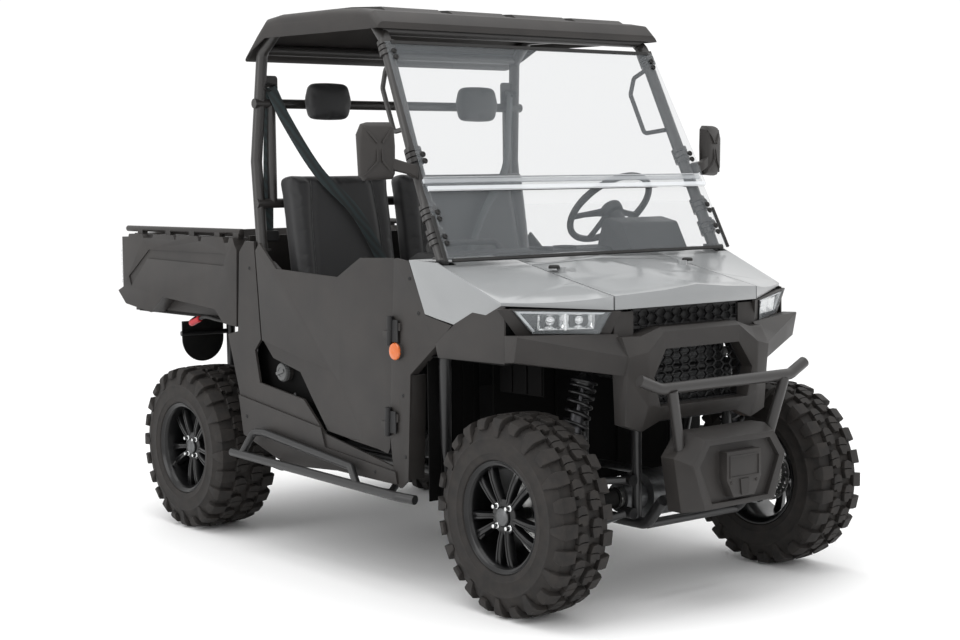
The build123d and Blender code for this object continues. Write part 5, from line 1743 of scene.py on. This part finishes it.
@dataclass
class Windshield:
    """Edge trims, lap band and bolts of the two-piece windshield.

    Attributes:
        foot: Middle of its lower edge.
        rake: Degrees that it leans back.
        lap: Distances up the slope of the lap's two edges.
        bolts: Distance up the slope of each clamp; its bolts stand 26 mm in from the glass's edge.
    """

    foot: Point = (863, 0, 1180)
    rake: float = 27.4
    lap: tuple[float, float] = (286.0, 330.0)
    bolts: Sequence[float] = (96.0, 190.0, 410.0, 830.0)

    def plane(self, behind: float = 0.0) -> Matrix:
        """Frame in the glass: X to the left, Y up the slope, Z out of its outer face."""
        lean = math.radians(self.rake)
        place = axes(self.foot, (0, 1, 0), (math.cos(lean), 0, math.sin(lean)))
        return place @ Matrix.Translation((0, 0, -behind))

    def half_at(self, up: float) -> float:
        """Half the glass's width at a distance up the slope."""
        return 702 - 12 * up / 430 if up < 430 else 690 - 26 * (up - 430) / 454

    def strip(
        self, name: str, path: Sequence[tuple[float, float]], behind: float, finish: Finish,
        wide: float = 9.0,
    ) -> None:
        """Builds a channel over an edge of the glass.

        Args:
            name: Name of the piece.
            path: X and Y of the edge in the glass.
            behind: How far the pane lies behind the outer face.
            finish: Its finish.
            wide: Width of the channel.
        """
        blank = Blank(name)
        section = ((-wide / 2, -4.5), (wide / 2, -4.5), (wide / 2, 4.5), (-wide / 2, 4.5))
        blank.sweep([(x, y, -2.5) for x, y in path], section, upright=(0, 0, 1), place=self.plane(behind))
        blank.done("chassis", finish, edge_mm=1.5)

    def build(self) -> None:
        """Builds the trims and bolts."""
        low, high = self.lap
        for side, end in ((1, "left"), (-1, "right")):
            corner = [(side * (self.half_at(u) - 1), u) for u in (16, 60, 120, 190)]
            self.strip(f"glass_corner_rubber_{end}", corner, 14, SOFT_RUBBER, 12)
        for name, foot, top, behind in (
            ("windshield_lower", 16, high, 14), ("windshield_upper", low, 882, 0),
        ):
            pane = Blank(name)
            levels = [foot + (top - foot) * step / 4 for step in range(5)]
            edge = [(self.half_at(u), u) for u in levels]
            pane.slab([*[(-x, u) for x, u in edge], *edge[::-1]], self.plane(behind), -5)
            pane.done("chassis", SCREEN_SHEET, replaces=("windshield",))
        self.strip(
            "lap_trim_upper", [(-self.half_at(high) + 6, high - 4), (self.half_at(high) - 6, high - 4)], 14,
            CLEAR_TRIM, 16,
        )
        self.strip(
            "lap_trim_lower", [(-self.half_at(low) + 6, low + 4), (self.half_at(low) - 6, low + 4)], 0,
            CLEAR_TRIM, 16,
        )
        for name, up in (("lap_bright_upper", high + 5), ("lap_bright_lower", low - 5)):
            self.strip(name, [(-self.half_at(up) + 6, up), (self.half_at(up) - 6, up)], 4, CHROME, 3)
        self.strip("glass_top_rubber", [(-640, 880), (640, 880)], 0, SOFT_RUBBER, 14)
        self.strip("glass_foot_rubber", [(-672, 18), (672, 18)], 14, SOFT_RUBBER, 12)
        bolts = Blank("glass_bolts")
        for up in self.bolts:
            behind = 14 if up < low else 0
            for side in (1, -1):
                for step in (-13, 13):
                    at = self.plane(behind) @ Vector((side * (self.half_at(up) - 26), up + step, 0))
                    place = axes(at, (0, 1, 0), self.plane().to_3x3() @ Vector((0, 0, 1)))
                    bolts.lathe(
                        ((11, -0.5), (11, 2.5), (8.5, 6.5), (4, 7), (3.6, 4.8), (0.5, 4.8)), place, 20,
                    )
        bolts.done("chassis", SOFT_RUBBER, smooth=40)


# ---- Head lamps ----------------------------------------------------------------------


@dataclass
class Headlamps:
    """Head lamps: black housing, two bright cells with a bar between them, and a clear lens.

    Attributes:
        middle: Middle of the left lens.
        across: Direction of its long axis.
        facing: Direction that it faces.
        outline: Corners of the lens, along and square to its long axis.
        depth: Depth of the housing.
    """

    middle: Point = (1229, 515, 985)
    across: Point = (-0.46, 0.888, 0)
    facing: Point = (0.8755, 0.4563, -0.16)
    outline: Sequence[tuple[float, float]] = ((172, 47), (-172, 33), (-133, -43), (102, -36))
    depth: float = 57.0

    def ring(self, share: float, height: float) -> list[Point]:
        """Corners of the outline drawn in to a share of its size, at a height."""
        return [(x * share, y * share, height) for x, y in self.outline]

    def cell(self, blank: Blank, place: Matrix, x: float, half: Point) -> None:
        """Adds one bright cell: a stepped bowl with a round bulb in it.

        Args:
            blank: Blank that takes it.
            place: Frame of the lens.
            x: Middle of the cell along the lens.
            half: Half its width and height at the mouth, and its depth.
        """
        wide, tall, deep = half
        rings = []
        for share, height in ((1, -9), (0.82, -18), (0.6, -deep), (0.64, -deep - 2), (0.86, -20), (1.04, -9)):
            rings.append(
                [
                    (x + sx * wide * share, 1 + sy * tall * share, height)
                    for sx, sy in ((-1, -1), (1, -1), (1, 1), (-1, 1))
                ]
            )
        blank.loft(rings, place=place, looped=True)
        bulb = place @ Matrix.Translation((x, 1, -deep - 2))
        blank.lathe(((tall * 0.62, 0), (tall * 0.6, 9), (tall * 0.35, 15), (3, 17)), bulb, 24)

    def build(self) -> None:
        """Builds both lamps."""
        for side, end in ((1, "left"), (-1, "right")):
            place = axes(self.middle, self.across, self.facing)
            surround = Blank(f"lamp_surround_{end}", side)
            wide = ((222, 50), (-206, 33), (-170, -50), (150, -46))
            outer = [[(x, y, height) for x, y in wide] for height in (-20, -9)]
            surround.loft([*outer, self.ring(1.01, -7), self.ring(1.01, -20)], place=place, looped=True)
            surround.done("chassis", CHARCOAL_PLASTIC, edge_mm=1)
            housing = Blank(f"lamp_housing_{end}", side)
            housing.loft(
                [self.ring(1, -self.depth), self.ring(1, -1.5), self.ring(0.96, -1.5), self.ring(0.88, -46)],
                place=place,
            )
            housing.done("chassis", BLACK_PLASTIC, edge_mm=1, replaces=("headlamps",))
            cells = Blank(f"lamp_reflectors_{end}", side)
            self.cell(cells, place, -66, (46, 25, 38))
            self.cell(cells, place, 34, (46, 26, 38))
            cells.slab(
                ((-19, -32), (-9, -32), (-7, 30), (-17, 30)), place @ Matrix.Translation((0, 0, -22)), 12,
            )
            cells.done("chassis", CHROME, edge_mm=0.8, smooth=25)
            blade = Blank(f"lamp_light_blade_{end}", side)
            blade.slab(
                ((162, 42), (-150, 30), (-142, 24), (150, 35)), place @ Matrix.Translation((0, 0, -16)), 9,
            )
            blade.slab(
                ((160, 40), (98, -30), (90, -27), (146, 38)), place @ Matrix.Translation((0, 0, -16)), 9,
            )
            blade.done("chassis", CLEAR_TRIM, edge_mm=1)
            lens = Blank(f"lamp_lens_{end}", side)
            lens.loft([self.ring(0.985, -3), self.ring(0.985, -0.6), self.ring(0.95, 0.4)], place=place)
            lens.done("chassis", LAMP_LENS, smooth=20)


# ---- Grille --------------------------------------------------------------------------


@dataclass
class Grille:
    """Wide-celled hexagon meshes in front of the radiator.

    Attributes:
        cell: Half the width and half the height of a cell.
        bar: Width of the bars.
        mouth: Corners of the lower opening, as Y and Z.
        slot: Corners of the upper slot, as Y and Z.
    """

    cell: tuple[float, float] = (27.0, 15.0)
    bar: float = 4.6
    mouth: Sequence[tuple[float, float]] = (
        (-180, 885), (180, 885), (242, 793), (214, 690), (-214, 690), (-242, 793),
    )
    slot: Sequence[tuple[float, float]] = ((-258, 957), (258, 957), (258, 1017), (-258, 1017))

    def within(self, outline: Sequence[tuple[float, float]], y: float, z: float) -> bool:
        """Tells whether a point lies inside an outline."""
        inside = False
        for (ay, az), (by, bz) in zip(outline, [*outline[1:], outline[0]]):
            if (az > z) != (bz > z) and y < (by - ay) * (z - az) / (bz - az) + ay:
                inside = not inside
        return inside

    def mesh(self, name: str, outline: Sequence[tuple[float, float]], x: float) -> None:
        """Builds one mesh with a rim along its outline.

        Args:
            name: Name of the piece.
            outline: Corners of the mesh, as Y and Z.
            x: Place of its back face along the vehicle.
        """
        blank = Blank(name)
        wide, tall = self.cell
        middle = sum(z for _, z in outline) / len(outline)
        columns = int(260 / (wide * 1.5)) + 1
        rows = int(120 / (2 * tall)) + 1
        corners = ((1, 0), (0.5, 1), (-0.5, 1), (-1, 0), (-0.5, -1), (0.5, -1))
        slim = 1 - self.bar / (2 * tall)
        for column in range(-columns, columns + 1):
            for row in range(-rows, rows + 1):
                y = column * wide * 1.5
                z = middle + row * 2 * tall + (tall if column % 2 else 0)
                if self.within(outline, y, z):
                    rings = []
                    for share, depth in ((1.03, 0), (1.03, 6), (slim + 0.03, 8), (slim, 0)):
                        rings.append(
                            [(x + depth, y + cy * wide * share, z + cz * tall * share) for cy, cz in corners]
                        )
                    blank.loft(rings, looped=True)
        for (ay, az), (by, bz) in zip(outline, [*outline[1:], outline[0]]):
            blank.sweep(
                ((x + 3, ay, az), (x + 3, by, bz)), ((-5, -3), (5, -3), (5, 3), (-5, 3)), upright=(1, 0, 0),
            )
        blank.done("chassis", BLACK_PLASTIC, smooth=25, replaces=("grille",))

    def radiator(self) -> None:
        """Builds the radiator's fins, flat tubes and side tanks."""
        fins = Blank("radiator_fins")
        for index in range(62):
            y = -183 + 6 * index
            fins.box((1272, y, 640), (1279, y + 1.2, 972))
        for index in range(23):
            z = 645 + 14.6 * index
            fins.box((1270, -186, z), (1280, 186, z + 3))
        fins.done("chassis", RADIATOR_COAT)
        tanks = Blank("radiator_tanks")
        for side in (-1, 1):
            tanks.box((1228, min(side * 186, side * 208), 622), (1284, max(side * 186, side * 208), 990))
        tanks.box((1230, -200, 972), (1282, 200, 992))
        tanks.box((1230, -200, 620), (1282, 200, 640))
        tanks.done("chassis", BLACK_PLASTIC, edge_mm=5)

    def build(self) -> None:
        """Builds the meshes and the radiator."""
        self.mesh("grille_mesh_lower", self.mouth, 1330)
        self.mesh("grille_mesh_upper", self.slot, 1292)
        backing = Blank("grille_backing")
        backing.box((1284, -262, 955), (1287, 262, 1019))
        backing.done("chassis", BLACK_PLASTIC)
        self.radiator()


# ---- Mirrors -------------------------------------------------------------------------


@dataclass
class Mirrors:
    """Side mirrors: tapered housing with ribs over its back, glass and arm.

    Attributes:
        middle: Middle of the left housing.
        toe: Degrees that the housing turns outwards.
        outline: Corners of the housing seen from behind, as width and height.
    """

    middle: Point = (622, 832, 1566)
    toe: float = 18.0
    outline: Sequence[tuple[float, float]] = (
        (-60, -96), (44, -100), (62, -82), (68, 60), (52, 96), (30, 102), (-50, 102), (-66, 88), (-70, 20),
        (-68, -80),
    )

    def build(self) -> None:
        """Builds both mirrors."""
        turn = math.radians(self.toe)
        for side, end in ((1, "left"), (-1, "right")):
            # X runs outwards, Y up and Z forwards, out of the ribbed back
            place = axes(
                self.middle, (-math.sin(turn), math.cos(turn), 0), (math.cos(turn), math.sin(turn), 0),
            )
            shell = Blank(f"mirror_shell_{end}", side)
            rings = []
            for share, height in ((0.93, -19), (1, -17), (1, -6), (0.96, 8), (0.82, 18), (0.5, 22)):
                rings.append([(x * share, y * share, height) for x, y in self.outline])
            shell.loft(rings, place=place)
            shell.done("chassis", CHARCOAL_PLASTIC, edge_mm=2, smooth=40, replaces=("mirrors",))
            ribs = Blank(f"mirror_ribs_{end}", side)
            for ax, ay, bx, by in (
                (-56, 84, -16, 30), (46, 84, 2, 30), (-58, -80, -16, -34), (50, -84, 2, -34),
                (-16, 30, -16, -34), (2, 30, 2, -34),
            ):
                path = [(ax, ay, 13), ((ax + bx) / 2, (ay + by) / 2, 24), (bx, by, 27)]
                ribs.sweep(path, ((-5, -6), (5, -6), (3, 3), (-3, 3)), upright=(0, 0, 1), place=place)
            ribs.done("chassis", CHARCOAL_PLASTIC, edge_mm=1.5)
            glass = Blank(f"mirror_glass_{end}", side)
            glass.loft(
                [
                    [(x * s, y * s, h) for x, y in self.outline]
                    for s, h in ((0.88, -18), (0.88, -20.5), (0.86, -21))
                ],
                place=place,
            )
            glass.done("chassis", CHROME, smooth=20)
            arm = Blank(f"mirror_arm_{end}", side)
            rings = []
            for x, y, z, wide, tall in (
                (625, 822, 1535, 12, 27), (645, 780, 1522, 13, 21), (668, 730, 1506, 15, 19),
                (660, 690, 1494, 18, 24),
            ):
                rings.append(
                    [
                        (x + wide, y, z - tall), (x + wide, y, z + tall), (x - wide, y, z + tall),
                        (x - wide, y, z - tall),
                    ]
                )
            arm.loft(rings)
            arm.done("chassis", CHARCOAL_PLASTIC, edge_mm=6)


# ---- Body fittings -------------------------------------------------------------------


@dataclass
class BodyFittings:
    """Small parts on the body: hinges, markers, liners, caps, levers and fasteners.

    Attributes:
        skin_y: Outer face of the side panels.
        hinges: X and Z of the door hinges.
        pivot_y: Distance of the hinge pins from the middle.
    """

    skin_y: float = 710.0
    hinges: Sequence[tuple[float, float]] = ((512, 600), (533, 930))
    pivot_y: float = 722.0

    def door_hinges(self) -> None:
        """Builds the black hinge knuckles and their leaves."""
        axis = Vector(
            (self.hinges[1][0] - self.hinges[0][0], 0, self.hinges[1][1] - self.hinges[0][1])
        ).normalized()
        for side, end in ((1, "left"), (-1, "right")):
            blank = Blank(f"door_hinges_{end}", side)
            for x, z in self.hinges:
                pin = Vector((x, self.pivot_y, z))
                place = axes(pin, (0, 1, 0), axis)
                blank.lathe(
                    ((4, -54), (11.5, -52), (11.6, -2), (10, 0), (11.6, 2), (11.5, 52), (4, 54)), place, 24,
                )
                blank.box((x + 8, 716, z - 40), (x + 46, 722, z + 40))
            blank.done("chassis", BLACK_PLASTIC, edge_mm=2)

    def markers(self) -> None:
        """Builds the amber markers and the tail lamps' clear strips."""
        for side, end in ((1, "left"), (-1, "right")):
            amber = Blank(f"side_marker_{end}", side)
            place = axes((566, 722, 858), (1, 0, 0), (0, 1, 0))
            amber.lathe(((31, -1), (31, 4), (28.5, 8), (22, 10), (8, 11), (4, 10.4), (0.5, 10.4)), place, 40)
            amber.done("chassis", AMBER_LENS, smooth=30)
            strip = Blank(f"tail_lamp_strip_{end}", side)
            for z in range(1020, 1172, 19):
                strip.box((-1542, 660, z), (-1524, 709, z + 16))
            strip.done("bed", LAMP_LENS, edge_mm=3)
            red = Blank(f"tail_lamp_red_{end}", side)
            red.box((-1541, 672, 1026), (-1537, 702, 1090))
            red.done("bed", RED_LENS, edge_mm=2)
            # inner wall, down to the floor behind the side's cut-out over the wheel
            wall = Blank(f"bed_inner_wall_{end}", side)
            wall.box((-1545, 633, 892), (-569, 639, 988))
            wall.done("bed", CHARCOAL_PLASTIC, edge_mm=1)

    def liners(self) -> None:
        """Builds the black liners of the wheel wells and the toe board's shield, darker than the other black
        plastic as painted shade, and a near-black sheet in each sill pocket that is painted shade.
        """
        for side, end in ((1, "left"), (-1, "right")):
            well = Blank(f"wheel_well_liner_{end}", side)
            well.box((812, 440, 712), (1050, 444, 856))
            for x in (870, 950, 1030):
                well.box((x, 444, 716), (x + 14, 450, 852))
            well.box((700, 446, 846), (1130, 684, 852))
            # ribbed rear wall, seen past the tyre
            well.box((700, 452, 330), (705, 684, 850))
            for y in range(470, 670, 50):
                well.box((705, y, 340), (709, y + 12, 846))
            well.done("chassis", LINER_AND_SHADE_PLASTIC, edge_mm=1.5)
            # near-black sheet laid over the pocket's charcoal wall: painted shade in the recess
            pocket = Blank(f"pocket_shade_sheet_{end}", side)
            wall = ((-480, 862), (-335, 862), (-332, 798), (-32, 688), (16, 602), (-480, 602))
            pocket.slab(wall, axes((0, self.skin_y - 59, 0), (1, 0, 0), (0, -1, 0)), -2)
            pocket.done("chassis", LINER_AND_SHADE_PLASTIC)
        shield = Blank("toe_board_shield")
        shield.box((776, -452, 330), (781, 452, 850))
        for y in (-452, -160, 150, 442):
            shield.box((781, y, 340), (786, y + 10, 840))
        shield.done("chassis", LINER_AND_SHADE_PLASTIC, edge_mm=2)

    def filler_cap(self) -> None:
        """Builds the ribbed filler cap in its pocket on the right side."""
        cap = Blank("filler_cap", -1)
        place = axes((-250, self.skin_y - 36, 715), (1, 0, 0.3), (0, 1, 0))
        cap.lathe(((36, -4), (37, 10), (34, 16), (30, 18), (20, 18.5), (18, 16), (1, 16)), place, 44)
        for index in range(22):
            angle = 2 * math.pi * index / 22
            cap.tube(
                (
                    (36.5 * math.cos(angle), 36.5 * math.sin(angle), -2),
                    (36.5 * math.cos(angle), 36.5 * math.sin(angle), 11),
                ),
                2.2, 6, place=place,
            )
        cap.slab(((-28, -6), (28, -6), (28, 6), (-28, 6)), place @ Matrix.Translation((0, 0, 15)), 9)
        cap.done("chassis", CAP_PLASTIC, edge_mm=0.8)

    def bed_lever(self) -> None:
        """Builds the bed's release levers with their red grips, under the bed sides."""
        for side, end in ((1, "left"), (-1, "right")):
            rod = Blank(f"bed_release_rod_{end}", side)
            rod.tube(
                curve_through(((-700, 640, 900), (-760, 655, 888), (-880, 660, 898), (-940, 660, 884)), 6),
                7.5, 12,
            )
            rod.done("bed", SOFT_RUBBER, smooth=60)
            grip = Blank(f"bed_release_grip_{end}", side)
            line = Vector((-1012, 660, 862)) - Vector((-934, 660, 886))
            place = axes((-934, 660, 886), (0, 1, 0), line)
            grip.lathe(
                ((7, -2), (12, 0), (13.5, 10), (12.5, 30), (14, 60), (13.5, 76), (9, 82), (1, 83)), place, 28,
            )
            grip.done("bed", RED_GRIP, smooth=50)

    def bumper_plate(self) -> None:
        """Builds the framed plate and the rib on the bumper cover's raised middle."""
        face = axes((1572, 0, 0), (0, 1, 0), (1, 0, 0))
        plate = Blank("bumper_plate")
        frame_line = ((-70, 524), (70, 524), (70, 452), (-70, 452))
        plate.sweep(
            [(y, z, 0) for y, z in frame_line], ((-3, -2), (3, -2), (3, 3), (-3, 3)), upright=(0, 0, 1),
            looped=True, place=face,
        )
        plate.slab(((-22, 444), (22, 444), (16, 390), (-16, 390)), face @ Matrix.Translation((0, 0, -1)), 5)
        for y in (-62, 62):
            plate.rivet((1572, y, 434), (1, 0, 0), 6)
        plate.done("chassis", CHARCOAL_PLASTIC, edge_mm=1)

    def fasteners(self) -> None:
        """Builds the push rivets on the body's skins and the hood's rest rubbers."""
        spots = (
            (-440, 1120), (-120, 640), (-470, 520), (120, 430), (420, 405), (640, 1120), (690, 1000),
            (590, 700), (600, 480),
        )
        for side, end in ((1, "left"), (-1, "right")):
            blank = Blank(f"panel_rivets_{end}", side)
            for x, z in spots:
                proud = 18 if z < 530 and x < 560 else 10
                blank.rivet((x, self.skin_y - 10 + proud, z), (0, 1, 0), 7)
            blank.done("chassis", BLACK_PLASTIC, smooth=40)
            rings = Blank(f"hood_rest_rubber_{end}", side)
            place = axes((981, 331, 1151), (1, 0, 0), (-0.1, 0, 1))
            rings.lathe(((20, 0), (20, 8), (16, 12), (10, 12), (8, 4), (0.5, 4)), place, 28)
            rings.done("chassis", SOFT_RUBBER, smooth=40)

    def bed_details(self) -> None:
        """Builds the ribs of the bed floor, the tailgate's handle and its pressed ribs."""
        ribs = Blank("bed_floor_ribs")
        for y in range(-540, 541, 120):
            ribs.slab(
                ((y - 24, 0), (y + 24, 0), (y + 17, 5), (y - 17, 5)),
                axes((-1486, 0, 909), (0, 1, 0), (1, 0, 0)), 900,
            )
        ribs.done("bed", CHARCOAL_PLASTIC, edge_mm=1.5)
        panel = Blank("tailgate_panel")
        for y in (-470, 0, 470):
            frame_at = axes((-1555, y, 1070), (0, -1, 0), (-1, 0, 0))
            panel.slab(
                ((-200, -96), (200, -96), (176, 96), (-176, 96)), frame_at @ Matrix.Translation((0, 0, -3)),
                8,
            )
        panel.done("tailgate", CHARCOAL_PLASTIC, edge_mm=4)
        handle = Blank("tailgate_handle")
        grip = axes((-1561, 0, 1190), (0, -1, 0), (-1, 0, 0))
        handle.slab(((-78, -24), (78, -24), (70, 24), (-70, 24)), grip @ Matrix.Translation((0, 0, -6)), 9)
        handle.slab(((-52, -10), (52, -10), (52, 10), (-52, 10)), grip @ Matrix.Translation((0, 0, 3)), 8)
        handle.done("tailgate", BLACK_PLASTIC, edge_mm=3)

    def build(self) -> None:
        """Builds every fitting."""
        self.door_hinges()
        self.markers()
        self.liners()
        self.filler_cap()
        self.bed_lever()
        self.bumper_plate()
        self.fasteners()
        self.bed_details()


# ---- Stage ---------------------------------------------------------------------------


@dataclass
class Studio:
    """Floor, lights and camera.

    Attributes:
        eye: Camera position.
        yaw: Heading of the camera, in radians.
        pitch: Its tilt, in radians.
        roll: Its roll, in radians.
        lens_mm: Focal length on a 36 mm wide frame.
        floor_half: Half the floor's width.
    """

    eye: Point = (5.56986, -4.34570, 1.48146)
    yaw: float = 2.46585545
    pitch: float = -0.0832717511
    roll: float = -0.0127154
    lens_mm: float = 65.23
    floor_half: float = 60.0

    def camera(self) -> bpy.types.Object:
        """Builds the camera.

        Returns:
            The camera object, made the scene's own.
        """
        ahead = Vector(
            (
                math.cos(self.yaw) * math.cos(self.pitch),
                math.sin(self.yaw) * math.cos(self.pitch),
                math.sin(self.pitch),
            )
        )
        right = Vector((math.sin(self.yaw), -math.cos(self.yaw), 0))
        up = right.cross(ahead)
        tilted_right = math.cos(self.roll) * right + math.sin(self.roll) * up
        tilted_up = -math.sin(self.roll) * right + math.cos(self.roll) * up
        data = bpy.data.cameras.new("camera")
        data.lens = self.lens_mm
        data.sensor_width = 36
        data.clip_end = 300
        camera = bpy.data.objects.new("camera", data)
        turn = Matrix((tilted_right, tilted_up, -ahead)).transposed().to_4x4()
        camera.matrix_world = Matrix.Translation(self.eye) @ turn
        bpy.context.scene.collection.objects.link(camera)
        bpy.context.scene.camera = camera
        return camera

    def floor(self) -> bpy.types.Object:
        """Builds the pale floor."""
        mesh = bpy.data.meshes.new("floor")
        half = self.floor_half
        mesh.from_pydata(
            [(-half, -half, 0), (half, -half, 0), (half, half, 0), (-half, half, 0)], [], [(0, 1, 2, 3)],
        )
        floor = bpy.data.objects.new("floor", mesh)
        bpy.context.scene.collection.objects.link(floor)
        floor.data.materials.append(Finish("pale_paper", "stage", "fbfbfb", Sheen.MATT).material())
        return floor

    def lights(self) -> None:
        """Builds the soft studio lights: name, place, target, size, power."""
        table = (
            ("overhead", (0.0, -0.5, 6.0), (0, 0, 0), 6.0, 190.0),
            ("front_soft", (7.0, -2.0, 3.4), (0.6, 0, 0.8), 3.0, 30.0),
            ("side_soft", (-1.0, -7.5, 3.4), (0, 0, 0.8), 4.0, 130.0),
            ("far_side", (1.0, 7.0, 3.5), (0, 0, 0.9), 4.0, 30.0),
        )
        for name, place, target, size, power in table:
            data = bpy.data.lights.new(name, "AREA")
            data.shape = "SQUARE"
            data.size = size
            data.energy = power
            lamp = bpy.data.objects.new(name, data)
            lamp.location = place
            lamp.rotation_euler = (Vector(target) - Vector(place)).to_track_quat("-Z", "Y").to_euler()
            bpy.context.scene.collection.objects.link(lamp)
        world = bpy.data.worlds.new("studio")
        world.use_nodes = True
        sky = world.node_tree.nodes["Background"]
        sky.inputs["Color"].default_value = linear("ffffff")
        sky.inputs["Strength"].default_value = 1.06
        bpy.context.scene.world = world
        bpy.context.scene.view_settings.view_transform = "Standard"


def main() -> None:
    """Builds the looks in order."""
    dress_nodes()
    Panels().build()
    for wheel in WHEELS:
        wheel.build()
    Suspension().build()
    for cushion in seats():
        cushion.build()
    SeatBelts().build()
    Cab().build()
    Windshield().build()
    Headlamps().build()
    Grille().build()
    Mirrors().build()
    BodyFittings().build()
    studio = Studio()
    studio.floor()
    studio.lights()
    studio.camera()


if __name__ == "__main__":
    main()
